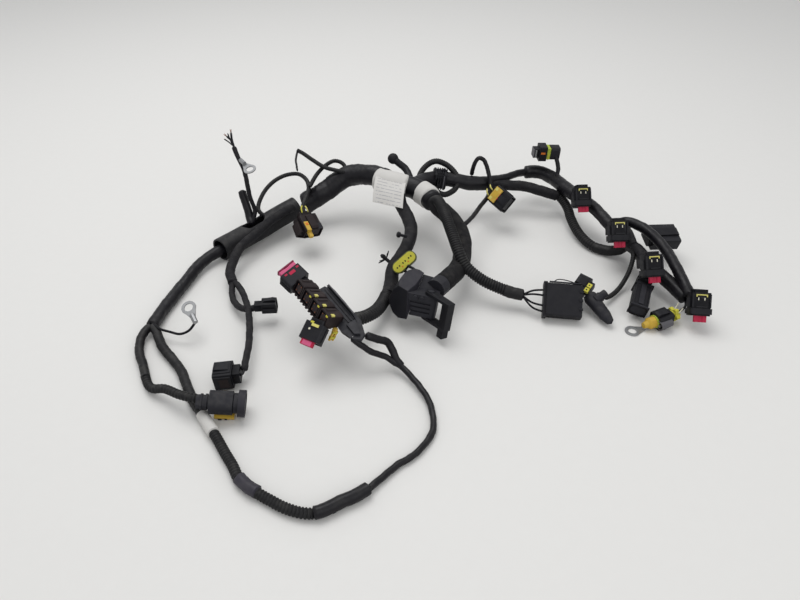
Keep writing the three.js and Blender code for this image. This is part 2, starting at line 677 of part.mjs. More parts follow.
// A connector with a sliding lock across its mating end: the lock runs in a pocket along +X
function lockLift(housing, lock) {
  return housing.height / 2 - lock.thickness / 2 - 1.3;
}

function lockedHousing(housing, lock) {
  const body = plugHousing({ ...housing, neck: 4, socket: 0.8, latch: false, ribs: true });
  const pocketDepth = lock.length - lock.out + lock.travel + clearance;
  const half = lock.width / 2 + clearance;
  const deep = lock.thickness / 2 + clearance;
  const pocket = box(housing.length - pocketDepth, housing.length + 1, -half, half, -deep, deep);
  return body.subtract(pocket.translate([0, 0, lockLift(housing, lock)]));
}

function housingLock(housing, lock) {
  const outerEnd = housing.length + lock.out;
  const half = lock.thickness / 2;
  const slide = box(outerEnd - lock.length, outerEnd, -lock.width / 2, lock.width / 2, -half, half);
  const notch = box(outerEnd - 1.5, outerEnd + 1, -lock.width / 6, lock.width / 6, 0, half + 1);
  return slide.subtract(notch).translate([0, 0, lockLift(housing, lock)]);
}

const endPosition = pointIn(trayFrame, rowStart - plugWidth / 2 - 0.8, -12.9, 5.1);
const endFrame = frameAt(endPosition, [-0.72, 0.55, 0.42], [0.3, -0.5, 0.8]);
add('cluster_end_connector', rigid(inFrame(lockedHousing(endHousing, endLock), endFrame)), plastic);
add('cluster_end_lock', rigid(inFrame(housingLock(endHousing, endLock), endFrame)), pink);

const sideFrame = frameAt(pointIn(trayFrame, 30.1, -21.4, 8.8), [-0.4, -0.72, -0.56], [-0.2, -0.55, 0.8]);
add('cluster_side_connector', rigid(inFrame(lockedHousing(sideHousing, sideLock), sideFrame)), plastic);
add('cluster_side_lock', rigid(inFrame(housingLock(sideHousing, sideLock), sideFrame)), red);

// Lever connector: a faceted hood over the back and left of a body with two pivot pins, a round
// collar for the sleeve, and a U-shaped lever that swings on the pins.

const leverPlace = [28, -35, 24];
const hoodFrame = frame(leverPlace, [1, 0, 0], [0, -0.788, 0.616]);
const leverFrame = frame(leverPlace, [0.97, -0.2, -0.1], [0.12, 0.22, 0.96]);

// Local X to the right, Y up and back, Z towards the viewer: two flat facets that meet in a ridge
function leverHood() {
  const ridge = [[-21, 11, 12.5], [-29, 16, 9]];
  const topFacet = [[-29, 20, 5.7], [-27, 24, 2.3], [-24, 28, -1.2], [-20, 31, -3.9], [-14, 33, -6],
    [-9, 31.5, -5.1], [-5, 28.5, -3], [-13, 17.5, 6.6]];
  const leftFacet = [[-34, 13, 5.9], [-37.5, 7, 3.1], [-38, -1, 1.7], [-35, -9, 2.1], [-30, -14, 4],
    [-22, -15.5, 8]];
  const front = [...ridge, ...topFacet, ...leftFacet];
  const back = front.map(([x, y]) => [x, y, -hoodBackDepth]);
  return Manifold.hull([...front, ...back]);
}

function leverBody() {
  const half = leverBodyHeight / 2;
  const front = -leverBodyDepth / 2;
  const block = standing(leverBodyLength, leverBodyDepth, -half, half, 3)
    .translate([-leverBodyLength / 2 + 8, 0, 0]);
  const pinEnd = half + clearance + leverArmThickness + leverPinStandOut;
  const pins = solidOf(new THREE.ExtrudeGeometry(circleSection(leverPinDiameter, 12), {
    depth: 2 * pinEnd, bevelEnabled: false,
  })).translate([0, -leverPinForward, -pinEnd]);
  const grooves = [-6, -1.5, 3].map((z) => box(-18, 2, front - 1, front + 1.3, z - 0.8, z + 0.8));
  const bosses = [-13, -7].map((x) => turned([[0, 0], [0, 2.8], [1.6, 2.2], [1.6, 0]], 10)
    .rotate([0, 0, -90]).translate([x, front + 0.4, 7.5]));
  return joined(block, pins, ...bosses).subtract(joined(...grooves));
}

// The shroud behind the hood, drawn in the hood's frame, and the collar that the sleeve runs into
function leverShroud() {
  const outline = [[-16, 29, -7], [-6, 27.5, -7], [0, 25, -7], [6, 20, -6], [10, 12, -4], [-16, 10, 2]];
  const back = outline.map(([x, y]) => [x, y, -hoodBackDepth + 1]);
  const neck = [[6, 23, -9], [14, 22, -12], [15, 13, -13], [9, 9, -8]];
  return Manifold.hull([...outline, ...back, ...neck]);
}

function sleeveCollar() {
  const [before, end] = route.leverSleeve.slice(-2).map(vector);
  const collarFrame = frameAt(end.toArray(), end.clone().sub(before).toArray());
  return inFrame(pushed(circleSection(collarDiameter, 14), 0, collarLength, 2), collarFrame);
}

function leverArm() {
  const inner = leverBodyHeight / 2 + clearance;
  const outer = inner + leverArmThickness;
  const tip = leverArmWidth / 2 - 1;
  const armOutline = new THREE.Shape();
  armOutline.absarc(0, 0, leverArmWidth / 2, Math.PI / 2, 1.5 * Math.PI);
  armOutline.lineTo(leverReach, -tip);
  armOutline.lineTo(leverReach, tip);
  armOutline.holes.push(new THREE.Path(circleSection(leverPinDiameter + 2 * clearance, 12).getPoints()));
  const arm = solidOf(new THREE.ExtrudeGeometry(armOutline, {
    depth: leverArmThickness, bevelEnabled: false, curveSegments: 5,
  }));
  const bar = box(leverReach - leverBarWidth, leverReach, -tip, tip, -outer, outer);
  const tab = box(leverReach - leverBarWidth, leverReach - 1, -tip, tip - 1, -outer - leverTabLength, -inner);
  return joined(arm.translate([0, 0, inner]), arm.translate([0, 0, -outer]), bar, tab)
    .rotate([0, 0, leverRestAngle])
    .translate([0, -leverPinForward, 0]);
}
add('lever_connector_hood', rigid(inFrame(leverHood(), hoodFrame)), greyPlastic);
add('lever_connector_body', rigid(joined(
  inFrame(leverBody(), leverFrame),
  inFrame(leverShroud(), hoodFrame),
  sleeveCollar(),
)), plastic);
add('lever_connector_lever', rigid(inFrame(leverArm(), leverFrame)), plastic);

// Relay connector: a flat square box with a rim at its wire side and two foot ribs
function relayBox() {
  const outside = roundedSection(relayWidth, relayThickness, 1.5);
  const shell = pushed(outside, 3, relayLength);
  const rim = pushed(roundedSection(relayWidth + 2 * relayRim, relayThickness - 1, 1.5), 0, 3.5);
  const opening = roundedSection(relayWidth - 2 * relayRim, relayThickness - 2 * relayRim, 1);
  const socket = pushed(opening, relayLength - relaySocketDepth, relayLength + 1);
  const coreY = relayWidth / 2 - relayRim - 1.7;
  const coreZ = relayThickness / 2 - relayRim - 1.6;
  const core = box(relayLength - relaySocketDepth - 1, relayLength - 1, -coreY, coreY, -coreZ, coreZ);
  const floor = -relayThickness / 2;
  const ribs = [-9, 9].map((y) => box(6, relayLength - 3, y - 1, y + 1, floor - 1, floor + 0.5));
  return joined(shell.subtract(socket), rim, core, ...ribs);
}
const relayFrame = frame([139.5, -19, 15.5], [1, -0.14, 0], [0, -0.57, 0.82]);
add('relay_connector', rigid(inFrame(relayBox(), relayFrame)), plastic);

// Elbow boot: a soft rubber sleeve with a neck for its conduit, and the plug that it covers
function elbowBoot() {
  const bootBody = turned([[0, 0], [0, 6.5], [4, 7.5], [16, 6.5], [27, 6], [35, 4], [38, 0]], 12);
  const neck = turned([[0, 0], [0, 5], [7, 5], [7, 4], [13, 4], [13, 0]], 12);
  const neckFrame = frameAt([9, 0, 3], [-0.1, 0.9, 0.25]);
  return joined(bootBody.scale([1, 1, 0.9]), inFrame(neck, neckFrame));
}
const elbowFrame = frame([187, -11, 14], [0.38, -0.86, -0.2], [0, -0.3, 0.95]);
add('elbow_boot', rigid(inFrame(elbowBoot(), elbowFrame)), rubber);
const forkPlug = plugHousing({ width: 18, height: 14, length: 17, neck: 4 });
const forkPlugFrame = frameAt(pointIn(elbowFrame, -3, 4, 3), [-0.75, 0.6, 0.1], [0, -0.5, 0.85]);
add('fork_connector', rigid(inFrame(forkPlug, forkPlugFrame)), plastic);

// Slim connector: a finned neck, and a flattened housing with a shallow socket at its end
function slimConnector() {
  const neck = pushed(roundedSection(slimWidth * 0.5, slimThickness * 0.6, 2), 0, slimNeckLength);
  const fins = [2, 6].map((x) => pushed(roundedSection(slimWidth * 0.85, slimThickness * 0.75, 2), x, x + 2));
  const taperSection = roundedSection(slimWidth * 0.72, slimThickness * 0.85, 3);
  const taper = pushed(taperSection, slimNeckLength - 5, slimLength / 2);
  const housing = pushed(roundedSection(slimWidth, slimThickness, 4), slimNeckLength, slimLength, 2);
  const socket = pushed(roundedSection(slimWidth - 3, slimThickness - 3, 3), slimLength - 2, slimLength + 1);
  const sideGrooves = [-1, 1].map((side) => box(slimNeckLength + 6, slimLength - 6,
    side * slimWidth / 2 - 0.8, side * slimWidth / 2 + 0.8, -1, 1));
  return joined(neck, ...fins, taper, housing).subtract(joined(socket, ...sideGrooves));
}
const slimFrame = frame([248, 13, 18], [-0.38, -0.91, -0.12], [0.1, -0.2, 1]);
add('slim_connector', rigid(inFrame(slimConnector(), slimFrame)), plastic);

// Boot connector: an oval rubber boot, and the housing with a wide rim and a lock that it covers
const bootFrame = frame([-160, -156, 18], [0.98, 0.08, -0.16], [0, -0.35, 0.94]);

function rubberBoot() {
  const narrow = pushed(roundedSection(bootWidth * 0.65, bootHeight * 0.65, 5), -4, 8);
  const wide = pushed(roundedSection(bootWidth, bootHeight, 6), 6, bootLength, 2);
  const ribs = [0, 4].map((x) => (
    pushed(roundedSection(bootWidth * 0.75, bootHeight * 0.75, 6), x - 0.8, x + 0.8)));
  return joined(narrow, wide, ...ribs);
}
add('rubber_boot', rigid(inFrame(rubberBoot(), bootFrame)), rubber);

function bootHousing() {
  const rimStart = bootLength + 4;
  const throatSection = roundedSection(bootWidth - 2, bootHeight - 2, 7);
  const throat = pushed(throatSection, bootLength + clearance, rimStart, 2);
  const rimSection = roundedSection(bootWidth + bootRimOver, bootHeight + bootRimOver + 2, 9);
  const rim = pushed(rimSection, rimStart, rimStart + 6, 2);
  const socketSection = roundedSection(bootWidth - 1, bootHeight + 1, 7);
  const socket = pushed(socketSection, rimStart + 2, rimStart + 7, 2);
  const core = pushed(roundedSection(bootWidth - 6, bootHeight - 4, 5), rimStart + 1, rimStart + 5.5);
  return joined(throat, rim.subtract(socket), core);
}
add('boot_connector', rigid(inFrame(bootHousing(), bootFrame)), greyPlastic);
const bootLock = joined(box(9, 25, -9, 9, 0, 3), box(11, 20, -6, 6, -2, 1));
const bootLockFrame = moved(bootFrame, 1.5, -1.2, -bootHeight / 2 - 3.1);
add('boot_connector_lock', rigid(inFrame(bootLock, bootLockFrame)), amber);

// Sensor connectors
const smallPlug = plugHousing({ width: 12, height: 12, length: 21, neck: 7, ribs: true });
add('sensor_connector_small', rigid(inFrame(smallPlug, frame([-139, -33, 18], [1, 0.06, 0.02]))), plastic);
const squarePlug = plugHousing({ width: 19, height: 17, length: 22, neck: 6, ribs: true });
const squareFrame = frame([-137, -117, 11.2], [-1, -0.1, -0.05]);
add('sensor_connector_square', rigid(inFrame(squarePlug, squareFrame)), plastic);

// Hanging connector: a plug with its cap beside it, both at the end of the thin loop
const hangingFrame = frame([-107, 106, 38], [0.45, -0.78, -0.42], [0.4, -0.3, 0.85]);
const hangingCapFrame = frameAt(pointIn(hangingFrame, 5, -8, -4), [0.35, -0.8, -0.45], [0.6, -0.1, 0.8]);
const hangingPlug = plugHousing({ width: 21, height: 15, length: 27, neck: 6, ribs: true });
const hangingCap = plugHousing({ width: 14, height: 11, length: 19, neck: 5, latch: false });
add('hanging_connector', rigid(joined(
  inFrame(hangingPlug, hangingFrame),
  inFrame(hangingCap, hangingCapFrame),
)), plastic);

// Top sensor connector: two blocks with a seal between them and a pale open end
function topSensor() {
  const rear = pushed(roundedSection(14, 15, 2.5), 0, 11);
  const seal = pushed(roundedSection(11, 12, 4), 10.5, 16);
  const block = pushed(roundedSection(16, 18, 1.5), 16, 25);
  const nose = pushed(roundedSection(11, 12, 2), 24.5, 31);
  const opening = pushed(roundedSection(9, 10, 2), 27, 32);
  return joined(rear, seal, block, nose).subtract(opening);
}
add('top_sensor_connector', rigid(inFrame(topSensor(), frame([192, 209, 64], [-1, -0.05, 0.03]))), plastic);

// Yellow-faced connector, seal connector, flat box connector
const yellowFacePlug = plugHousing({ width: 21, height: 17, length: 25, neck: 3, socket: 6, ribs: true });
const yellowFaceFrame = frame([108, 152, 41], [0.62, -0.62, -0.3], [-0.5, -0.6, 0.6]);
add('yellow_face_connector', rigid(inFrame(yellowFacePlug, yellowFaceFrame)), plastic);

function sealConnector() {
  const body = pushed(roundedSection(28, 13, 6.4), 0, 7, 3);
  const face = pushed(roundedSection(26, 10.6, 5.2), 6.5, 9.5, 3);
  const pins = [-9, -6, -1.5, 1.5, 6, 9].map((y) => box(7, 11, y - 0.7, y + 0.7, -0.7, 0.7));
  return joined(body, face).subtract(joined(...pins));
}
const sealFrame = frame([5, 22, 31], [-0.1, -0.78, 0.6], [-0.66, 0.6, 0.5]);
add('seal_connector', rigid(inFrame(sealConnector(), sealFrame)), yellow);

const flatBox = plugHousing({ width: 26, height: 14, length: 34, neck: 4, radius: 1.5 });
const flatBoxFrame = frame([266, 77, 26], [1, 0.1, -0.03], [0, -0.25, 0.97]);
add('flat_box_connector', rigid(inFrame(flatBox, flatBoxFrame)), plastic);

// The pieces between the right ring terminal and the rail
const groundSeal = turned([[0, 0], [0, 3.4], [2, 5], [4, 3.8], [6, 5], [8, 3.8], [8, 0]], 10);
add('ground_seal', rigid(inFrame(groundSeal, groundFrame)), yellow);
const groundClip = plugHousing({
  width: 16, height: 14, length: groundClipLength + 1, neck: 3, socket: 2, ribs: true,
});
add('ground_clip', rigid(inFrame(groundClip, moved(groundFrame, groundSealLength))), greyPlastic);
const sleeveProfile = [[0, 0], [0, 5.6], [groundSleeveLength - 2, 5.8], [groundSleeveLength, 4],
  [groundSleeveLength, 0]];
const groundSleeve = turned(sleeveProfile, 12);
add('ground_sleeve', rigid(inFrame(groundSleeve, sleeveFrame)), amber);

// Ribbed clamp on the trunk beside the side loop
const clampWidth = rightTrunkDiameter + 3;
const clampSolid = joined(
  pushed(roundedSection(clampWidth, clampWidth, 5), 0, 15),
  ...[1, 12].map((x) => pushed(roundedSection(clampWidth + 2.5, clampWidth + 2.5, 6), x, x + 2)),
);
add('trunk_clamp', rigid(inFrame(clampSolid, frame([39, 171.5, 48.5], [1, 0.03, -0.12]))), plastic);

export default harness;
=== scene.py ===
"""Engine wiring harness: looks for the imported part, in the part's own frame, in metres."""
import json
import math

import bmesh
import bpy
from mathutils import Matrix, Vector, noise

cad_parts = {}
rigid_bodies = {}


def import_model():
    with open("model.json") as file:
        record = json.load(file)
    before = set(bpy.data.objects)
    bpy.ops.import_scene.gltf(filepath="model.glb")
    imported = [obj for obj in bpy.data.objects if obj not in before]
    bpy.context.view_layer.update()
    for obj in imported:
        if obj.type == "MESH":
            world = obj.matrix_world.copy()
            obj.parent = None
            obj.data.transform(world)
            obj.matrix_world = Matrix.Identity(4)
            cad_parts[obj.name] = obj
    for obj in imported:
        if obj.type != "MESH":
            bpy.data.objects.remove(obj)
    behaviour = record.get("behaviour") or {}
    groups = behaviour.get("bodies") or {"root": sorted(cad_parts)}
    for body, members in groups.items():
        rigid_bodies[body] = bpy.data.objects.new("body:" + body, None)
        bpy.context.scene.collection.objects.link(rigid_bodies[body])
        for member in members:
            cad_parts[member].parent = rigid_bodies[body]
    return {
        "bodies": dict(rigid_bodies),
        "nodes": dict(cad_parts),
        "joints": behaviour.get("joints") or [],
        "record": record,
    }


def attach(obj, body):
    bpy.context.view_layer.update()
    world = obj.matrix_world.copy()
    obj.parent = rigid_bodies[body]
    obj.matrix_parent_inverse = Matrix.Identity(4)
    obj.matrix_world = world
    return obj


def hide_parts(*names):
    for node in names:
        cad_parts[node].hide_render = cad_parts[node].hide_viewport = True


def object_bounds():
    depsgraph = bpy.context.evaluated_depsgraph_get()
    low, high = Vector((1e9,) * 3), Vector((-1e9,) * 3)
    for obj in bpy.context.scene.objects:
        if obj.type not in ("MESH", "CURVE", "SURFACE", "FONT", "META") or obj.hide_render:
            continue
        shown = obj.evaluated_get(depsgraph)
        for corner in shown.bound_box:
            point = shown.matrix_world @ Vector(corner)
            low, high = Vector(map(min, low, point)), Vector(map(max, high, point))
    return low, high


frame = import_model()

CAD_BOX = [list(corner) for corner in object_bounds()]
BODY = "harness"
MM = 0.001
MERGE_DISTANCE = 1e-6
FLAT_ANGLE = 2
BEVEL_ANGLE = 38
FLOOR_GAP = 0.0002

# The camera stands in front of the table and looks down at it by its pitch, in degrees.
CAMERA_PLACE = (-0.029, -0.493, 0.400)
CAMERA_PITCH = 38
CAMERA_LENS = 28.8
SENSOR_WIDTH = 36

# The routes are in millimetres from a mark on the table. The part's origin lies here from it, in metres.
MIDDLE = Vector((0.029, -0.019, 0))
ROUTES = {
    "left_bundle_tape": [(-124, 148, 21), (-140, 135, 17), (-160, 115, 13.5), (-179, 95, 12),
        (-195, 76, 11.5), (-204, 67, 10), (-214, 51, 8.5), (-221, 27, 7), (-227, 2, 6.2),
        (-232, -22, 6.2), (-235, -50, 7)],
    "smooth_conduit_pipe": [(-196, 73, 12.8), (-179, 94, 13), (-160, 114, 15), (-140, 135, 18),
        (-122, 150, 22)],
    "trunk": [(-114, 148, 26), (-96, 155, 34), (-80, 162, 42), (-64, 169, 51), (-46, 167, 56),
        (-25, 156, 58), (-6, 143, 57), (14, 137, 54), (31, 125, 50), (38, 112, 48)],
    "cap_stub": [(12, 146, 60), (7, 158, 66), (-2, 164, 72), (-8, 168, 75)],
    "cross_conduit": [(-104, 147, 50), (-96, 170, 56), (-87, 178, 62), (-77, 185, 64), (-67, 181, 62),
        (-62, 170, 54)],
    "kinked_conduit": [(-62, 165, 58), (-69, 162, 62), (-87, 168, 64), (-104, 183, 67), (-115, 191, 71),
        (-122, 193, 74)],
    "kinked_lead": [(-121, 193, 73), (-122, 180, 68), (-119, 166, 60)],
    "boot_conduit": [(-236, -50, 8), (-240, -62, 7), (-237, -82, 5), (-228, -100, 4.3), (-216, -124, 4.4),
        (-209, -131, 7), (-197, -136, 12), (-181, -146, 15.5), (-168, -152, 18), (-158, -154, 18)],
    "loop_corrugated": [(-234, -50, 7.5), (-227, -60, 7), (-218, -76, 5.5), (-205, -91, 4.4),
        (-193, -106, 4.4), (-182, -126, 4.4), (-173, -142, 4.4), (-163, -156, 5.2), (-151, -173, 5.6),
        (-143, -184, 5), (-135, -196, 4.4), (-126, -209, 4.4), (-118, -222, 4.4), (-103, -233, 4.4),
        (-93, -239, 4.4), (-82, -245, 4.4), (-70, -249, 4.4), (-60, -250, 4.4)],
    "loop_tape_short": [(-120, -219, 5), (-112, -227, 5), (-102, -233.5, 5)],
    "loop_tape_long": [(-62, -250, 5), (-53, -247, 5), (-43, -241, 5), (-30, -234, 5), (-22, -228, 5)],
    "loop_tail": [(-24, -230, 4), (-12, -217, 3.2), (-2, -207, 3), (10, -198, 3), (20, -186, 3),
        (26, -174, 3), (27, -158, 3.4), (24, -142, 4.4), (18, -130, 6), (10, -117, 7), (2, -107, 9),
        (-5, -103, 11), (-13, -100, 15), (-24, -102, 22), (-34, -101, 30), (-42, -99, 36)],
    "upper_tail": [(-30, -95, 36), (-22, -94, 31), (-11, -91, 24), (-7, -94, 18), (-3, -101, 12),
        (2, -107, 9)],
    "sensor_bundle": [(-122, 133, 31), (-129, 125, 32), (-147, 107, 27), (-160, 89, 22), (-172, 66, 20),
        (-176, 49, 16), (-177, 31, 13), (-170, 13, 11)],
    "short_leg": [(-171, 15, 11), (-170, 4, 9), (-165, -12, 9), (-154, -28, 12), (-143, -34, 16),
        (-136, -33, 18)],
    "long_leg": [(-170, 16, 11), (-164, 8, 12), (-154, -12, 16), (-145, -36, 16), (-140, -57, 15),
        (-136, -84, 14), (-135, -103, 14), (-134, -116, 14)],
    "long_leg_leads": [(-134, -114, 14), (-135, -120, 13), (-140, -118, 12)],
    "spare_stub": [(-168, 112, 20), (-171, 120, 25), (-174, 127, 34), (-178, 134, 44), (-180, 139, 50)],
    "spare_bundle": [(-168, 114, 21), (-165, 124, 32), (-169, 128, 46), (-172, 136, 62), (-176, 146, 74),
        (-182, 153, 84), (-187, 160, 94)],
    "spare_wire_1": [(-187, 160, 94), (-190, 165, 99), (-195, 167, 103)],
    "spare_wire_2": [(-186, 159, 93), (-189, 166, 100), (-190, 171, 106)],
    "upper_ring_lead": [(-179, 149, 79), (-178, 147, 83), (-175, 143, 83)],
    "left_ring_lead": [(-236, -46, 9), (-230, -53, 11), (-224, -58, 11), (-214, -61, 10), (-204, -64, 10),
        (-195, -64, 14), (-190, -61, 19), (-188.5, -59, 21)],
    "thin_loop_conduit": [(-152, 124, 22), (-163, 133, 28), (-160, 150, 38), (-149, 167, 46),
        (-135, 176, 50), (-121, 179, 50), (-111, 170, 48), (-106, 154, 46), (-106, 132, 46),
        (-108, 112, 43), (-106, 104, 40)],
    "cluster_sleeve": [(-2, 130, 52), (1, 113, 46), (8, 94, 42), (12, 77, 37), (9, 58, 32), (1, 40, 26),
        (-7, 27, 20), (-9, 9, 15), (-12, -12, 14)],
    "cluster_conduit": [(-13, -8, 14), (-16, -21, 15), (-23, -40, 18), (-33, -54, 22), (-42, -62, 26)],
    "lever_textile": [(36, 120, 49), (42, 104, 48), (54, 88, 44), (63, 72, 38), (66, 58, 33),
        (65, 44, 30), (62, 26, 28.5), (56.5, 12, 28), (48.5, -2, 29.5), (40, -15, 31)],
    "relay_conduit": [(33, 116, 46), (41, 100, 58), (47, 74, 57), (54, 44, 49), (60, 22, 40),
        (66, 12, 33), (81, 1, 25), (99, -7, 20), (113, -11, 17), (122, -13, 16)],
    "relay_wire_1": [(120, -12.5, 16), (130, -12, 21), (141, -12, 22)],
    "relay_wire_2": [(120, -12.5, 16), (130, -15, 19), (141, -17, 19)],
    "relay_wire_3": [(120, -13, 16), (129, -22, 14), (141, -26, 13)],
    "relay_wire_4": [(120, -13, 16), (129, -26, 11), (141, -31, 9)],
    "side_loop": [(22, 150, 48), (24, 172, 54), (32, 180, 61), (42, 182, 65), (54, 182, 61),
        (63, 177, 55), (68, 171, 48), (66, 164, 40), (60, 160, 36), (52, 158, 34), (44, 159, 37),
        (38, 163, 43)],
    "right_trunk_tape": [(16, 142, 54), (28, 160, 51), (43, 172, 48), (65, 173, 45), (83, 172, 42),
        (107, 175, 40)],
    "right_upper_tape": [(92, 174, 43), (107, 178, 43), (127, 188, 41), (146, 204, 38.5),
        (157, 210, 37.5)],
    "right_lower_tape": [(94, 173, 39), (110, 178, 37), (130, 178, 35.5), (148, 179, 34), (167, 174, 31),
        (180, 172, 28), (190, 171, 25)],
    "tall_arch": [(85, 180, 48), (87, 178, 62), (92, 180, 70), (98, 179, 68), (103, 172, 58),
        (106, 160, 44), (103, 152, 36), (92, 131, 34), (80, 103, 36), (70, 84, 38)],
    "shoulder_tape": [(153, 209, 37.5), (172, 210, 37), (186, 197, 36), (196, 172, 36), (206, 150, 36)],
    "rail_tape": [(204, 155, 36), (212, 143, 35), (220, 129, 34), (226, 110, 33), (233, 90, 31),
        (240, 80, 30)],
    "rail_upper_tape": [(236, 88, 32), (247, 95, 35), (260, 84, 36), (270, 63, 35), (276, 40, 32),
        (278, 14, 29), (280, -8, 24), (282, -20, 20)],
    "rail_lower_tape": [(236, 90, 28), (242, 72, 25), (251, 55, 24), (259, 29, 21), (269, 10, 18),
        (276, -6, 16), (280, -18, 15)],
    "ground_leads": [(281, -16, 14), (278, -24, 11), (272, -29, 9), (266, -33, 9)],
    "lower_conduit": [(188, 176, 26), (195, 166, 22), (199, 153, 18), (200, 137, 14), (205, 111, 9),
        (215, 92, 6), (228, 82, 6), (240, 76, 10), (246, 74, 16)],
    "top_lead": [(188, 208, 62), (189, 201, 58), (191, 195, 50), (189, 188, 40)],
    "fork_sleeve": [(241, 76, 38), (243, 64, 35), (245, 53, 30)],
    "fork_left": [(245, 56, 31), (244, 44, 24), (238, 30, 15), (226, 14, 6), (213, 0, 5.5), (205, -7, 8)],
    "fork_right": [(245, 56, 31), (249, 41, 30), (249, 30, 27), (249, 26, 26)],
    "fork_leads": [(249, 28, 26), (249, 19, 21), (247, 8, 17.5)],
}


def at(place):
    """A place on the table, in millimetres, as a point of the part's frame, in metres."""
    return Vector([value * MM for value in place]) - MIDDLE


def route(name):
    return [at(place) for place in ROUTES[name]]


# Camera, floor and lights

def look_from(place, pitch, lens):
    data = bpy.data.cameras.new("camera")
    data.lens = lens
    data.sensor_width = SENSOR_WIDTH
    data.clip_start = 0.01
    camera = bpy.data.objects.new("camera", data)
    camera.location = place
    camera.rotation_euler = (math.radians(90 - pitch), 0, 0)
    bpy.context.collection.objects.link(camera)
    bpy.context.scene.camera = camera


def area_light(name, place, size, power):
    """A round lamp that faces the part's origin."""
    data = bpy.data.lights.new(name, "AREA")
    data.shape = "DISK"
    data.size = size
    data.energy = power
    lamp = bpy.data.objects.new(name, data)
    lamp.location = place
    lamp.rotation_euler = (-Vector(place)).to_track_quat("-Z", "Y").to_euler()
    bpy.context.collection.objects.link(lamp)


def world(colour, strength):
    made = bpy.data.worlds.new("room")
    made.use_nodes = True
    made.node_tree.nodes["Background"].inputs["Color"].default_value = (*colour, 1)
    made.node_tree.nodes["Background"].inputs["Strength"].default_value = strength
    bpy.context.scene.world = made


look_from(CAMERA_PLACE, CAMERA_PITCH, CAMERA_LENS)
area_light("key", (-0.3, 0.5, 1.5), 1.3, 13)
area_light("fill", (0.6, -1.1, 1.1), 1.6, 6)
world((0.95, 0.96, 0.98), 0.6)
bpy.context.scene.view_settings.view_transform = "Standard"


# Materials

def linear(value):
    return value / 12.92 if value <= 0.04045 else ((value + 0.055) / 1.055) ** 2.4


def shade(red, green, blue, factor=1.0):
    return tuple(min(1.0, linear(value / 255) * factor) for value in (red, green, blue)) + (1,)


LOOKS = {}
RELIEF = 0.0004


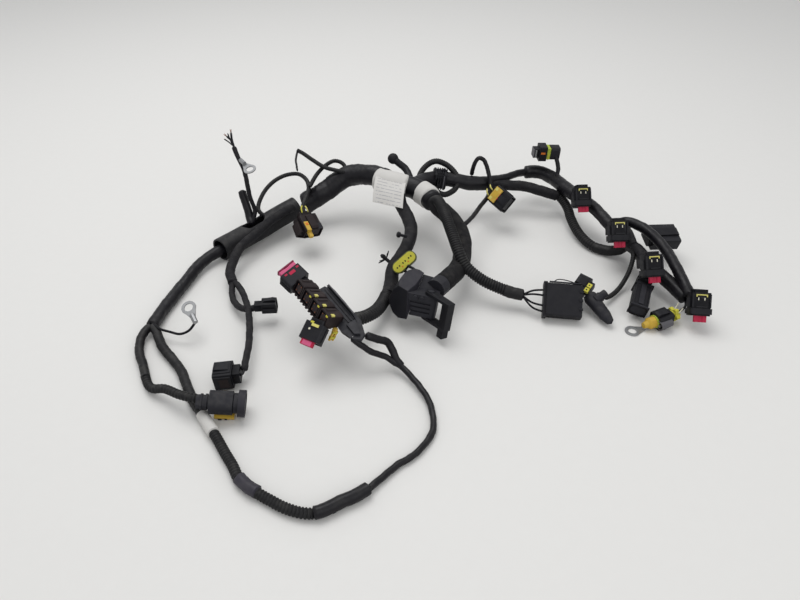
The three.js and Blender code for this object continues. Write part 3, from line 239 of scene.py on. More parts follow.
class Look:
    """A procedural material: two tones mixed by noise, dust on what faces up, and fine relief."""

    def __init__(self, name, colour, roughness, spread=0.25, metallic=0.0, shine=0.25):
        self.name = name
        self.material = bpy.data.materials.new(name)
        self.material.use_nodes = True
        self.tree = self.material.node_tree
        self.shader = self.tree.nodes["Principled BSDF"]
        self.shader.inputs["Metallic"].default_value = metallic
        self.shader.inputs["Specular IOR Level"].default_value = shine
        self.place = self.node("ShaderNodeTexCoord").outputs["Object"]
        blotches = self.noise(90, 3)
        tones = self.node("ShaderNodeMix", data_type="RGBA")
        self.link(blotches, tones.inputs["Factor"])
        tones.inputs["A"].default_value = shade(*colour, 1 - spread)
        tones.inputs["B"].default_value = shade(*colour, 1 + spread)
        self.colour = tones.outputs["Result"]
        self.heights = []
        self.link(self.ranged(self.noise(260, 2), roughness - 0.08, roughness + 0.1),
                  self.shader.inputs["Roughness"])

    def node(self, kind, **settings):
        made = self.tree.nodes.new(kind)
        for key, value in settings.items():
            setattr(made, key, value)
        return made

    def link(self, output, socket):
        self.tree.links.new(output, socket)

    def noise(self, scale, detail):
        made = self.node("ShaderNodeTexNoise")
        made.inputs["Scale"].default_value = scale
        made.inputs["Detail"].default_value = detail
        self.link(self.place, made.inputs["Vector"])
        return made.outputs["Fac"]

    def ranged(self, value, low, high, from_low=0.3, from_high=0.7):
        made = self.node("ShaderNodeMapRange")
        self.link(value, made.inputs["Value"])
        made.inputs["From Min"].default_value = from_low
        made.inputs["From Max"].default_value = from_high
        made.inputs["To Min"].default_value = low
        made.inputs["To Max"].default_value = high
        return made.outputs["Result"]

    def maths(self, operation, first, second):
        made = self.node("ShaderNodeMath", operation=operation)
        for socket, value in zip(made.inputs, (first, second)):
            if isinstance(value, (int, float)):
                socket.default_value = value
            else:
                self.link(value, socket)
        return made.outputs["Value"]

    def over(self, colour, amount):
        """Another colour laid over what is there, as far as amount says."""
        made = self.node("ShaderNodeMix", data_type="RGBA")
        self.link(amount, made.inputs["Factor"])
        self.link(self.colour, made.inputs["A"])
        made.inputs["B"].default_value = colour
        self.colour = made.outputs["Result"]
        return self

    def dusty(self, amount, colour=(150, 146, 138)):
        normal = self.node("ShaderNodeNewGeometry").outputs["Normal"]
        parts = self.node("ShaderNodeSeparateXYZ")
        self.link(normal, parts.inputs["Vector"])
        upward = self.ranged(parts.outputs["Z"], 0.0, 1.0, 0.25, 0.95)
        patches = self.ranged(self.noise(140, 4), 0.15, 1.0, 0.42, 0.68)
        layer = self.maths("MULTIPLY", self.maths("MULTIPLY", upward, patches), amount)
        return self.over(shade(*colour), layer)

    def worn(self, amount, colour):
        """Lighter along the edges, where handling has rubbed it."""
        pointiness = self.node("ShaderNodeNewGeometry").outputs["Pointiness"]
        return self.over(shade(*colour), self.ranged(pointiness, 0.0, amount, 0.52, 0.6))

    def relief(self, height, strength):
        self.heights.append((height, strength))
        return self

    def grain(self, scale, strength):
        return self.relief(self.noise(scale, 3), strength)

    def woven(self, scale, strength):
        """Two crossing sets of threads along a tube's own length and girth."""
        flat = self.node("ShaderNodeUVMap").outputs["UV"]
        for turn in (0.25, -0.25):
            turned = self.node("ShaderNodeMapping")
            turned.inputs["Rotation"].default_value = (0, 0, turn * math.pi)
            self.link(flat, turned.inputs["Vector"])
            threads = self.node("ShaderNodeTexWave", wave_profile="SIN")
            threads.inputs["Scale"].default_value = scale
            self.link(turned.outputs["Vector"], threads.inputs["Vector"])
            self.relief(threads.outputs["Fac"], strength)
        return self

    def done(self):
        """Joins the layers and files the material under its name."""
        self.link(self.colour, self.shader.inputs["Base Color"])
        normal = None
        for height, strength in self.heights:
            bump = self.node("ShaderNodeBump")
            bump.inputs["Strength"].default_value = strength
            bump.inputs["Distance"].default_value = RELIEF
            self.link(height, bump.inputs["Height"])
            if normal is not None:
                self.link(normal, bump.inputs["Normal"])
            normal = bump.outputs["Normal"]
        if normal is not None:
            self.link(normal, self.shader.inputs["Normal"])
        LOOKS[self.name] = self.material


# Tape, conduit and textile

Look("tape", (16, 15, 20), 0.4).dusty(0.035).grain(700, 0.25).grain(160, 0.25).done()
Look("worn_tape", (52, 50, 58), 0.5).dusty(0.06).grain(700, 0.25).grain(220, 0.35).done()
Look("cloth_tape", (17, 16, 21), 0.62).dusty(0.05).woven(560, 0.3).grain(260, 0.3).done()
Look("conduit", (21, 21, 23), 0.5).dusty(0.07).grain(900, 0.15).done()
Look("smooth_conduit", (26, 26, 29), 0.52).dusty(0.08).grain(420, 0.2).done()
Look("textile", (19, 18, 21), 0.75).dusty(0.07).woven(420, 0.6).grain(200, 0.3).done()

# Dark plastics and rubber

plastic = Look("plastic", (13, 13, 18), 0.46, shine=0.14)
plastic.dusty(0.018).worn(0.16, (92, 92, 97)).grain(1200, 0.12).done()
brown_plastic = Look("brown_plastic", (24, 18, 21), 0.45, shine=0.16)
brown_plastic.dusty(0.02).worn(0.2, (96, 82, 80)).grain(1200, 0.12).done()
Look("grey_plastic", (40, 40, 45), 0.5, shine=0.18).dusty(0.03).grain(1400, 0.15).done()
Look("hood_plastic", (44, 43, 49), 0.5, shine=0.18).dusty(0.02).grain(1400, 0.15).done()
Look("light_grey", (84, 83, 87), 0.5).dusty(0.05).grain(1400, 0.15).done()
Look("rubber", (30, 30, 36), 0.62).dusty(0.08).grain(800, 0.15).done()

# Coloured plastics: colour, roughness and spread of tone

COLOURED = {
    "olive": ((92, 96, 62), 0.5, 0.12),
    "lime": ((166, 182, 70), 0.5, 0.14),
    "orange": ((206, 112, 40), 0.5, 0.12),
    "yellow": ((192, 186, 66), 0.5, 0.14),
    "pale_yellow": ((206, 198, 112), 0.5, 0.12),
    "gold": ((198, 164, 72), 0.5, 0.18),
    "red": ((172, 22, 60), 0.42, 0.14),
    "plum": ((116, 24, 56), 0.46, 0.16),
    "pink": ((200, 88, 126), 0.48, 0.14),
}
for name, (colour, roughness, spread) in COLOURED.items():
    Look(name, colour, roughness, spread).grain(900, 0.12).done()
Look("amber", (192, 158, 58), 0.45, 0.2).dusty(0.06).grain(900, 0.12).done()

# Labels, bare metal and the floor

Look("paper", (198, 196, 192), 0.75, 0.05).grain(500, 0.2).grain(120, 0.2).done()
Look("print", (158, 157, 160), 0.75, 0.14).grain(500, 0.2).done()
Look("pale", (214, 210, 190), 0.6, 0.08).grain(700, 0.12).done()
Look("tin", (148, 149, 150), 0.42, 0.14, metallic=0.75).grain(600, 0.2).done()
Look("copper", (126, 84, 66), 0.42, 0.2, metallic=0.9).grain(900, 0.2).done()
Look("floor", (220, 219, 216), 0.6, 0.01).done()


# Tubes that follow a route

FINE_STEPS = 24


def centreline(points, step):
    """Evenly spaced points on the smooth curve through the route's points."""
    ends = [points[0] * 2 - points[1], *points, points[-1] * 2 - points[-2]]
    fine = []
    for before, start, finish, after in zip(ends, ends[1:], ends[2:], ends[3:]):
        gaps = [math.sqrt((b - a).length) for a, b in ((before, start), (start, finish), (finish, after))]
        chord = (finish - start) / gaps[1]
        leave = (start - before) / gaps[0] - (finish - before) / (gaps[0] + gaps[1]) + chord
        arrive = chord - (after - start) / (gaps[1] + gaps[2]) + (after - finish) / gaps[2]
        leave, arrive = leave * gaps[1], arrive * gaps[1]
        for i in range(FINE_STEPS):
            t = i / FINE_STEPS
            fine.append(start + leave * t + (finish * 3 - start * 3 - leave * 2 - arrive) * t ** 2
                        + (start * 2 - finish * 2 + leave + arrive) * t ** 3)
    fine.append(points[-1].copy())
    lengths = [0.0]
    for a, b in zip(fine, fine[1:]):
        lengths.append(lengths[-1] + (b - a).length)
    count = max(4, round(lengths[-1] / step))
    line, k = [], 0
    for i in range(count + 1):
        wanted = lengths[-1] * i / count
        while k < len(fine) - 2 and lengths[k + 1] < wanted:
            k += 1
        share = (wanted - lengths[k]) / max(lengths[k + 1] - lengths[k], 1e-9)
        line.append(fine[k].lerp(fine[k + 1], share))
    return line


def line_length(line):
    return sum((b - a).length for a, b in zip(line, line[1:]))


def carried_frames(line):
    """For each point of the line, two directions across it that turn as little as they can."""
    last = len(line) - 1
    tangents = [(line[min(i + 1, last)] - line[max(i - 1, 0)]).normalized() for i in range(last + 1)]
    side = tangents[0].cross(Vector((0, 0, 1)))
    if side.length < 0.1:
        side = tangents[0].cross(Vector((1, 0, 0)))
    side.normalize()
    frames = []
    for i, tangent in enumerate(tangents):
        if i:
            side.rotate(tangents[i - 1].rotation_difference(tangent))
            side = (side - tangent * side.dot(tangent)).normalized()
        frames.append((side.copy(), tangent.cross(side)))
    return frames


def swept(mesh, line, radius_at, sides, look_index, uv_layer):
    """Adds a closed tube to a bmesh. radius_at(along, angle, length) gives the surface."""
    length = line_length(line)
    frames = carried_frames(line)
    rings, along = [], 0.0
    for i, (point, (side, up)) in enumerate(zip(line, frames)):
        if i:
            along += (point - line[i - 1]).length
        ring = []
        for j in range(sides):
            angle = 2 * math.pi * j / sides
            radius = radius_at(along, angle, length)
            ring.append(mesh.verts.new(point + (side * math.cos(angle) + up * math.sin(angle)) * radius))
        rings.append((ring, along))
    girth = 2 * math.pi * radius_at(length / 2, 0, length)
    for (ring, start), (following, end) in zip(rings, rings[1:]):
        for j in range(sides):
            k = (j + 1) % sides
            face = mesh.faces.new((ring[j], ring[k], following[k], following[j]))
            face.material_index = look_index
            face.smooth = True
            corners = ((j, start), (j + 1, start), (j + 1, end), (j, end))
            for loop, (around, distance) in zip(face.loops, corners):
                loop[uv_layer].uv = (around / sides * girth, distance)
    for ring, turn in ((rings[0][0], -1), (rings[-1][0], 1)):
        face = mesh.faces.new(ring[::turn])
        face.material_index = look_index


RIM_SHARE = 0.35
LEAST_END = 0.12


def rounded_end(along, length, radius):
    """How much of its radius a tube has left near its closed ends."""
    near = min(along, length - along)
    rim = radius * RIM_SHARE
    return 1.0 if near >= rim else math.sqrt(max(LEAST_END, 1 - (1 - near / rim) ** 2))


def taped(diameter, pitch=None, lap=0.00035, lumps=0.05, seed=0.0):
    """Tape wound round a bundle: a spiral step at each turn over the lumps of the wires inside."""
    radius = diameter / 2
    pitch = pitch or 0.011 + diameter * 0.25

    def surface(along, angle, length):
        turn = (along / pitch + angle / (2 * math.pi)) % 1
        step = min(turn * 8, 1) * (1 - turn) * lap
        across = Vector((math.cos(angle) * 1.3, math.sin(angle) * 1.3, along * 55 + seed))
        lump = noise.noise(across) * lumps * radius
        crease = noise.noise(Vector((angle * 1.5, along * 420, seed))) * lap * 0.6
        return (radius + step + lump + crease - lap / 2) * rounded_end(along, length, radius)
    return surface


SLIT_ANGLE = 0.35 * 2 * math.pi
SLIT_WIDTH = 0.09


def corrugated(diameter, pitch=0.0028, depth=0.0008, start=0.0, wrap=0.0):
    """Conduit with round ribs and a slit along it. It is taped up to start and over its last wrap."""
    radius = diameter / 2
    under_tape = taped(diameter, lumps=0.07, seed=start * 100)

    def surface(along, angle, length):
        if along < start or along > length - wrap:
            return under_tape(along, angle, length)
        wave = 0.5 + 0.5 * math.cos(2 * math.pi * along / pitch)
        away = abs((angle - SLIT_ANGLE + math.pi) % (2 * math.pi) - math.pi)
        cut = depth * 1.2 * math.exp(-(away / SLIT_WIDTH) ** 2)
        return (radius - depth * (1 - wave ** 0.6) - cut) * rounded_end(along, length, radius)
    return surface


def plain(diameter, lumps=0.015):
    """The smooth skin of a single wire."""
    radius = diameter / 2

    def surface(along, angle, length):
        across = Vector((math.cos(angle), math.sin(angle), along * 70))
        return radius * (1 + noise.noise(across) * lumps) * rounded_end(along, length, radius)
    return surface


class Piece:
    """One visible piece under construction: solids in its own frame, in millimetres."""

    def __init__(self, name, place=None):
        self.name = name
        self.place = (place or Matrix()) @ Matrix.Scale(MM, 4)
        self.mesh = bmesh.new()
        self.uv = self.mesh.loops.layers.uv.new("UVMap")
        self.looks = []

    def look(self, name):
        if name not in self.looks:
            self.looks.append(name)
        return self.looks.index(name)

    def placed(self, x, y, z):
        return self.mesh.verts.new(self.place @ Vector((x, y, z)))

    def prism(self, outline, low, high, look, axis="z"):
        """An outline pushed along an axis. The outline's two numbers are the other two axes in order."""
        def corner(a, b, height):
            return {"x": (height, a, b), "y": (a, height, b), "z": (a, b, height)}[axis]
        index = self.look(look)
        bottom = [self.placed(*corner(a, b, low)) for a, b in outline]
        top = [self.placed(*corner(a, b, high)) for a, b in outline]
        faces = [self.mesh.faces.new(bottom), self.mesh.faces.new(top)]
        for i in range(len(outline)):
            k = (i + 1) % len(outline)
            faces.append(self.mesh.faces.new((bottom[i], bottom[k], top[k], top[i])))
        for face in faces:
            face.material_index = index
        bmesh.ops.recalc_face_normals(self.mesh, faces=faces)

    def box(self, x0, x1, y0, y1, z0, z1, look):
        self.prism([(x0, y0), (x1, y0), (x1, y1), (x0, y1)], z0, z1, look)

    def turned(self, profile, look, start=(0, 0, 0), axis="x", sides=28):
        """A profile of (distance, radius) turned round an axis through start."""
        index = self.look(look)
        rings = []
        for distance, radius in profile:
            ring = []
            for j in range(sides):
                angle = 2 * math.pi * j / sides
                a, b = radius * math.cos(angle), radius * math.sin(angle)
                offset = {"x": (distance, a, b), "y": (a, distance, b), "z": (a, b, distance)}[axis]
                ring.append(self.placed(*(value + extra for value, extra in zip(offset, start))))
            rings.append(ring)
        faces = [self.mesh.faces.new(rings[0]), self.mesh.faces.new(rings[-1])]
        for ring, following in zip(rings, rings[1:]):
            for j in range(sides):
                k = (j + 1) % sides
                face = self.mesh.faces.new((ring[j], ring[k], following[k], following[j]))
                face.smooth = True
                faces.append(face)
        for face in faces:
            face.material_index = index
        bmesh.ops.recalc_face_normals(self.mesh, faces=faces)

    def wire(self, points, diameter, look):
        """A thin insulated wire through points of the piece's own frame."""
        line = centreline([self.place @ Vector(point) for point in points], 0.0012)
        swept(self.mesh, line, plain(diameter * MM), 12, self.look(look), self.uv)

    def cad(self, node, look):
        """The CAD node's own solid, with its flat faces merged."""
        before = set(self.mesh.faces)
        self.mesh.from_mesh(bpy.data.objects[node].data)
        fresh = [face for face in self.mesh.faces if face not in before]
        index = self.look(look)
        for face in fresh:
            face.material_index = index
        verts = list({vert for face in fresh for vert in face.verts})
        bmesh.ops.remove_doubles(self.mesh, verts=verts, dist=MERGE_DISTANCE)
        edges = list({edge for vert in verts if vert.is_valid for edge in vert.link_edges})
        bmesh.ops.dissolve_limit(self.mesh, angle_limit=math.radians(FLAT_ANGLE), edges=edges,
                                 verts=[vert for vert in verts if vert.is_valid])
        return self

    def recoloured(self, look, chosen):
        """Gives another look to the faces whose middle and normal, in the piece's own frame, are chosen."""
        index = self.look(look)
        back = self.place.inverted()
        turn = self.place.to_3x3().normalized().transposed()
        for face in self.mesh.faces:
            if chosen(back @ face.calc_center_median(), turn @ face.normal):
                face.material_index = index

    def done(self, node, slot, body=BODY, bevel=0.35, smooth=32):
        data = bpy.data.meshes.new(self.name)
        self.mesh.to_mesh(data)
        self.mesh.free()
        for name in self.looks:
            data.materials.append(LOOKS[name])
        for polygon in data.polygons:
            polygon.use_smooth = True
        data.set_sharp_from_angle(angle=math.radians(smooth))
        made = bpy.data.objects.new(self.name, data)
        bpy.context.collection.objects.link(made)
        if bevel:
            edges = made.modifiers.new("edges", "BEVEL")
            edges.width = bevel * MM
            edges.segments = 2
            edges.limit_method = "ANGLE"
            edges.angle_limit = math.radians(BEVEL_ANGLE)
            normals = made.modifiers.new("normals", "WEIGHTED_NORMAL")
            normals.keep_sharp = True
        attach(made, body)
        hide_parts(node)
        return made


def framed(origin, forward, up=(0, 0, 1)):
    """An origin in the part's frame with its own +X along forward and its own +Z near up."""
    x = Vector(forward).normalized()
    y = Vector(up).cross(x).normalized()
    z = x.cross(y)
    made = Matrix((x, y, z)).transposed().to_4x4()
    made.translation = origin
    return made


def frame_at(place, forward, up=(0, 0, 1)):
    """The same from a place on the table, in millimetres."""
    return framed(at(place), forward, up)


def moved(frame, x, y, z):
    return frame @ Matrix.Translation(Vector((x, y, z)) * MM)


def turned_to(frame, x, y, z):
    """A direction of a frame's own, in the part's frame."""
    return frame.to_3x3() @ Vector((x, y, z))


# Cables. Each takes the place of the CAD solid that holds its space.

CABLES = {}
WIRE = 0.0024
KNOB_RADIUS = 6.2


def cable(name, diameter, surface, look, node, slot, sides=32, step=0.0018):
    line = centreline(route(name), step)
    piece = Piece(name)
    swept(piece.mesh, line, surface, sides, piece.look(look), piece.uv)
    made = piece.done(node, slot, bevel=0, smooth=60)
    CABLES[name] = (made, line, diameter)


def taped_cable(name, diameter, node, look="tape", **shape):
    cable(name, diameter, taped(diameter, seed=len(CABLES) * 3.7, **shape), look, node, "tape")


def conduit_cable(name, diameter, node, slot="conduit", pitch=0.0028, depth=0.0008, **tape):
    surface = corrugated(diameter, pitch, depth, **tape)
    cable(name, diameter, surface, "conduit", node, slot, sides=28, step=pitch / 6)


def single_wire(name, node, slot, diameter=WIRE):
    cable(name, diameter, plain(diameter), "plastic", node, slot, 14)


taped_cable("trunk", 0.024, "main_trunk", lumps=0.1, lap=0.0006)
taped_cable("cap_stub", 0.008, "main_trunk")
knob = Piece("cap_knob", Matrix.Translation(route("cap_stub")[-1]))
knob.turned([(KNOB_RADIUS * math.sin(math.radians(turn)), KNOB_RADIUS * math.cos(math.radians(turn)))
             for turn in range(-84, 85, 12)], "cloth_tape", axis="z")
knob.done("main_trunk", "tape", bevel=0, smooth=60)
conduit_cable("cross_conduit", 0.005, "main_trunk", "tape", 0.0018, 0.0004)
conduit_cable("kinked_conduit", 0.005, "main_trunk", "tape", 0.0018, 0.0004)
taped_cable("kinked_lead", WIRE, "main_trunk")
taped_cable("left_bundle_tape", 0.012, "left_bundle", lumps=0.08)
single_wire("left_ring_lead", "left_bundle", "tape")
taped_cable("right_trunk_tape", 0.017, "right_trunk", lumps=0.09)
taped_cable("right_upper_tape", 0.009, "right_trunk", lumps=0.09)
taped_cable("right_lower_tape", 0.012, "right_trunk", look="cloth_tape", lumps=0.09)
conduit_cable("side_loop", 0.007, "right_trunk", "tape", 0.0022, 0.0004)
taped_cable("tall_arch", 0.005, "right_trunk", lumps=0.04)
taped_cable("cluster_sleeve", 0.014, "cluster_branch", look="cloth_tape")
conduit_cable("cluster_conduit", 0.013, "cluster_branch", "tape", 0.0032, 0.0011)
cable("lever_textile", 0.019, taped(0.019, lumps=0.06, seed=4.1), "textile", "lever_sleeve", "textile", 40)
conduit_cable("relay_conduit", 0.012, "relay_branch", pitch=0.0027, depth=0.0010, wrap=0.02)
taped_cable("shoulder_tape", 0.016, "rail_upper", lumps=0.09)
taped_cable("rail_tape", 0.0135, "rail_upper", lumps=0.07)
taped_cable("rail_upper_tape", 0.011, "rail_upper", lumps=0.06)
taped_cable("top_lead", 0.005, "rail_upper")
taped_cable("rail_lower_tape", 0.014, "rail_lower", lumps=0.08)
conduit_cable("lower_conduit", 0.011, "rail_lower", "tape", 0.003, 0.0009, wrap=0.035)
taped_cable("ground_leads", WIRE, "rail_lower")
taped_cable("fork_sleeve", 0.011, "fork_branch", look="cloth_tape")
conduit_cable("fork_left", 0.005, "fork_branch", "tape", 0.002, 0.0004)
taped_cable("fork_right", 0.008, "fork_branch", look="cloth_tape")
taped_cable("fork_leads", 0.0048, "fork_branch")
conduit_cable("loop_corrugated", 0.0086, "loop_conduit", pitch=0.0027, depth=0.0010, start=0.13)
taped_cable("loop_tape_short", 0.010, "loop_conduit", look="worn_tape", lumps=0.1)
taped_cable("loop_tape_long", 0.010, "loop_conduit")
conduit_cable("boot_conduit", 0.008, "boot_branch", pitch=0.0036, depth=0.0016, start=0.07)
taped_cable("loop_tail", 0.0055, "loop_bundle", lumps=0.1)
taped_cable("upper_tail", 0.007, "loop_bundle")
taped_cable("sensor_bundle", 0.010, "sensor_branch", look="cloth_tape", lumps=0.08)
taped_cable("short_leg", 0.0063, "sensor_branch", look="cloth_tape")
taped_cable("long_leg", 0.0063, "sensor_branch", look="cloth_tape")
taped_cable("long_leg_leads", WIRE, "sensor_branch")
taped_cable("spare_stub", 0.009, "spare_branch")
taped_cable("spare_bundle", 0.005, "spare_branch", look="cloth_tape", lumps=0.1)
taped_cable("upper_ring_lead", WIRE, "spare_branch")
conduit_cable("thin_loop_conduit", 0.005, "thin_loop", pitch=0.002, depth=0.0003)
for number in (1, 2):
    single_wire(f"spare_wire_{number}", "spare_branch", "tape")
for number in (1, 2, 3, 4):
    single_wire(f"relay_wire_{number}", "relay_branch", "conduit", diameter=0.002)


# The smooth conduit is a hollow pipe with an oval window, where the spare wires leave it.

WINDOW_RADIUS = 8.5
WINDOW_STRAIGHT = 13


def smooth_conduit(diameter=0.025, wall=0.0018, sides=56):
    line = centreline(route("smooth_conduit_pipe"), 0.003)
    piece = Piece("smooth_conduit_pipe")
    index = piece.look("smooth_conduit")
    frames = carried_frames(line)
    grid = {}
    for inside, radius in ((False, diameter / 2), (True, diameter / 2 - wall)):
        for i, (point, (side, up)) in enumerate(zip(line, frames)):
            for j in range(sides):
                angle = 2 * math.pi * j / sides
                unevenness = noise.noise(Vector((math.cos(angle), math.sin(angle), i * 0.2)))
                swell = radius * (1 + 0.012 * unevenness)
                spot = point + (side * math.cos(angle) + up * math.sin(angle)) * swell
                grid[inside, i, j] = piece.mesh.verts.new(spot)
    last = len(line) - 1
    for j in range(sides):
        k = (j + 1) % sides
        corners = []
        for i in range(last):
            corners.append(((False, i, j), (False, i, k), (False, i + 1, k), (False, i + 1, j)))
            corners.append(((True, i, j), (True, i + 1, j), (True, i + 1, k), (True, i, k)))
        corners.append(((False, 0, k), (False, 0, j), (True, 0, j), (True, 0, k)))
        corners.append(((False, last, j), (False, last, k), (True, last, k), (True, last, j)))
        for places in corners:
            piece.mesh.faces.new([grid[place] for place in places])
    for face in piece.mesh.faces:
        face.material_index = index
    made = piece.done("smooth_conduit", "conduit", bevel=0)

    cutter = Piece("window", frame_at((-165, 108, 16), (-0.1, 0.35, 1), (0.68, 0.72, 0)))
    outline = []
    for i in range(32):
        angle = 2 * math.pi * (i + 0.5) / 32
        end = WINDOW_STRAIGHT / 2 if math.sin(angle) > 0 else -WINDOW_STRAIGHT / 2
        outline.append((WINDOW_RADIUS * math.cos(angle) * 0.98, end + WINDOW_RADIUS * math.sin(angle)))
    cutter.prism(outline, 0, 22, "smooth_conduit", axis="x")
    data = bpy.data.meshes.new("window")
    cutter.mesh.to_mesh(data)
    shape = bpy.data.objects.new("window", data)
    bpy.context.collection.objects.link(shape)
    opening = made.modifiers.new("window", "BOOLEAN")
    opening.object = shape
    opening.solver = "EXACT"
    cut = bpy.data.meshes.new_from_object(made.evaluated_get(bpy.context.evaluated_depsgraph_get()))
    made.modifiers.clear()
    made.data = cut
    bpy.data.objects.remove(shape)
    for polygon in cut.polygons:
        polygon.use_smooth = True
    cut.set_sharp_from_angle(angle=math.radians(35))


smooth_conduit()


# Labels: film wrapped round a cable, with a free flap on the large one

def film(name, places, diameter, node, flap=None):
    line = centreline([at(place) for place in places], 0.0015)
    piece = Piece(name)
    surface = taped(diameter, pitch=0.2, lap=0.0003, lumps=0.03, seed=9.2)
    swept(piece.mesh, line, surface, 64, piece.look("paper"), piece.uv)
    if flap:
        hanging_flap(piece, *flap)
    piece.done(node, "paper", bevel=0, smooth=50)


ROW_GAP = 5
ROW_MARGIN = 4
FLAP_SAG = 0.003
FLAP_RIPPLE = 0.0014


def hanging_flap(piece, top, bottom, rows=40, columns=48, thickness=0.3):
    """The loose end of a label: a sheet that leaves the wrap at its top edge and flares outward below.
    Broken grey rows, which spell nothing, stand where the real label is printed."""
    paper, ink = piece.look("paper"), piece.look("print")
    top_left, top_right = (at(place) for place in top)
    bottom_left, bottom_right = (at(place) for place in bottom)
    across = (top_right - top_left).normalized()
    outward = across.cross(bottom_left - top_left).normalized()
    sheet = {}
    for side in (0, 1):
        for i in range(rows + 1):
            for j in range(columns + 1):
                down, along = i / rows, j / columns
                point = top_left.lerp(top_right, along).lerp(bottom_left.lerp(bottom_right, along), down)
                ripple = noise.noise(Vector((along * 3, down * 3, 4))) * FLAP_RIPPLE * down
                sag = math.sin(math.pi * down) * FLAP_SAG + ripple
                sheet[side, i, j] = piece.mesh.verts.new(point - outward * (sag - side * thickness * MM))
    corners = []
    for i in range(rows):
        for j in range(columns):
            for side in (0, 1):
                corners.append(((side, i, j), (side, i, j + 1), (side, i + 1, j + 1), (side, i + 1, j)))
    for i in range(rows):
        for j in (0, columns):
            corners.append(((0, i, j), (0, i + 1, j), (1, i + 1, j), (1, i, j)))
    for j in range(columns):
        for i in (0, rows):
            corners.append(((0, i, j), (0, i, j + 1), (1, i, j + 1), (1, i, j)))
    made = [piece.mesh.faces.new([sheet[place] for place in places]) for places in corners]
    for number, face in enumerate(made[:2 * rows * columns]):
        i, j = number // (2 * columns), number // 2 % columns
        in_row = i % ROW_GAP == ROW_GAP - 2 and ROW_MARGIN <= j < columns - ROW_MARGIN
        unbroken = noise.noise(Vector((j * 0.4, i * 1.7, 2))) > -0.12
        face.material_index = ink if in_row and unbroken else paper
    for face in made:
        face.smooth = True
    bmesh.ops.recalc_face_normals(piece.mesh, faces=made)


LABEL_FLAP = (((-27, 141.5, 67), (6.5, 128, 65)), ((-30.5, 114, 49), (3, 96, 51)))
LABEL_ROUTE = [(-28, 153, 57), (-6, 141, 57), (10, 136, 54.8)]
BAND_ROUTE = [(20, 134.5, 53), (31, 125, 50), (35, 118, 49)]
LOOP_LABEL_ROUTE = [(-162, -157.5, 5.5), (-151, -173, 5.6), (-147, -178.5, 5.5)]
film("trunk_label_film", LABEL_ROUTE, 0.0272, "trunk_label", LABEL_FLAP)
film("trunk_band_film", BAND_ROUTE, 0.0268, "trunk_band")
film("loop_label_film", LOOP_LABEL_ROUTE, 0.0102, "loop_label")


# Coil connectors: yellow seal strip, two pale slits and a red slide at the foot

COIL_TOP = 12.5
COIL_FRONT = -7
COIL_TILT = -38

# Where each stands, and how far it is turned about the vertical, in degrees
COILS = [((205, 130, 47), 4), ((229, 64, 43), 3), ((248, 7, 39), 6), ((283, -36, 25), -6)]


def coil_face(piece):
    """The seal strip with its two hooks, the slits under it, and the posts and ribs round them."""
    front, top = COIL_FRONT, COIL_TOP
    piece.box(-5.2, 5.2, front - 0.3, front + 0.7, top - 5.8, top - 4.7, "pale_yellow")
    for side in (-1, 1):
        hook, slit, post, rib = side * 4.7, side * 2.8, side * 7.9, side * 9.6
        piece.box(hook - 0.5, hook + 0.5, front - 0.3, front + 0.3, top - 7.2, top - 5.7, "pale_yellow")
        piece.box(slit - 0.5, slit + 0.5, front + 0.2, front + 0.8, top - 10.4, top - 7.9, "pale")
        piece.box(post - 0.7, post + 0.7, front - 0.8, front + 0.5, -5, top - 4.5, "plastic")
        piece.box(rib - 0.5, rib + 0.5, -4, 4, -4.5, 5, "plastic")
    piece.box(-6.4, 6.4, front - 0.7, front + 0.5, top - 4.3, top - 3.3, "plastic")
    piece.box(-5.0, 5.0, front - 1.0, front + 0.5, -4.6, -3.4, "plastic")


for number, (place, turn) in enumerate(COILS, 1):
    matrix = Matrix.Rotation(math.radians(turn), 4, "Z") @ Matrix.Rotation(math.radians(COIL_TILT), 4, "X")
    matrix.translation = at(place)
    shell = Piece(f"coil_housing_{number}", matrix).cad(f"coil_connector_{number}", "plastic")
    coil_face(shell)
    shell.done(f"coil_connector_{number}", "plastic")
    slide = Piece(f"coil_slide_{number}", matrix).cad(f"coil_lock_{number}", "red")
    slide.done(f"coil_lock_{number}", "red", body=f"coil_lock_{number}_body", bevel=0.3)


# Small details on the housings, each drawn in its connector's own frame in millimetres

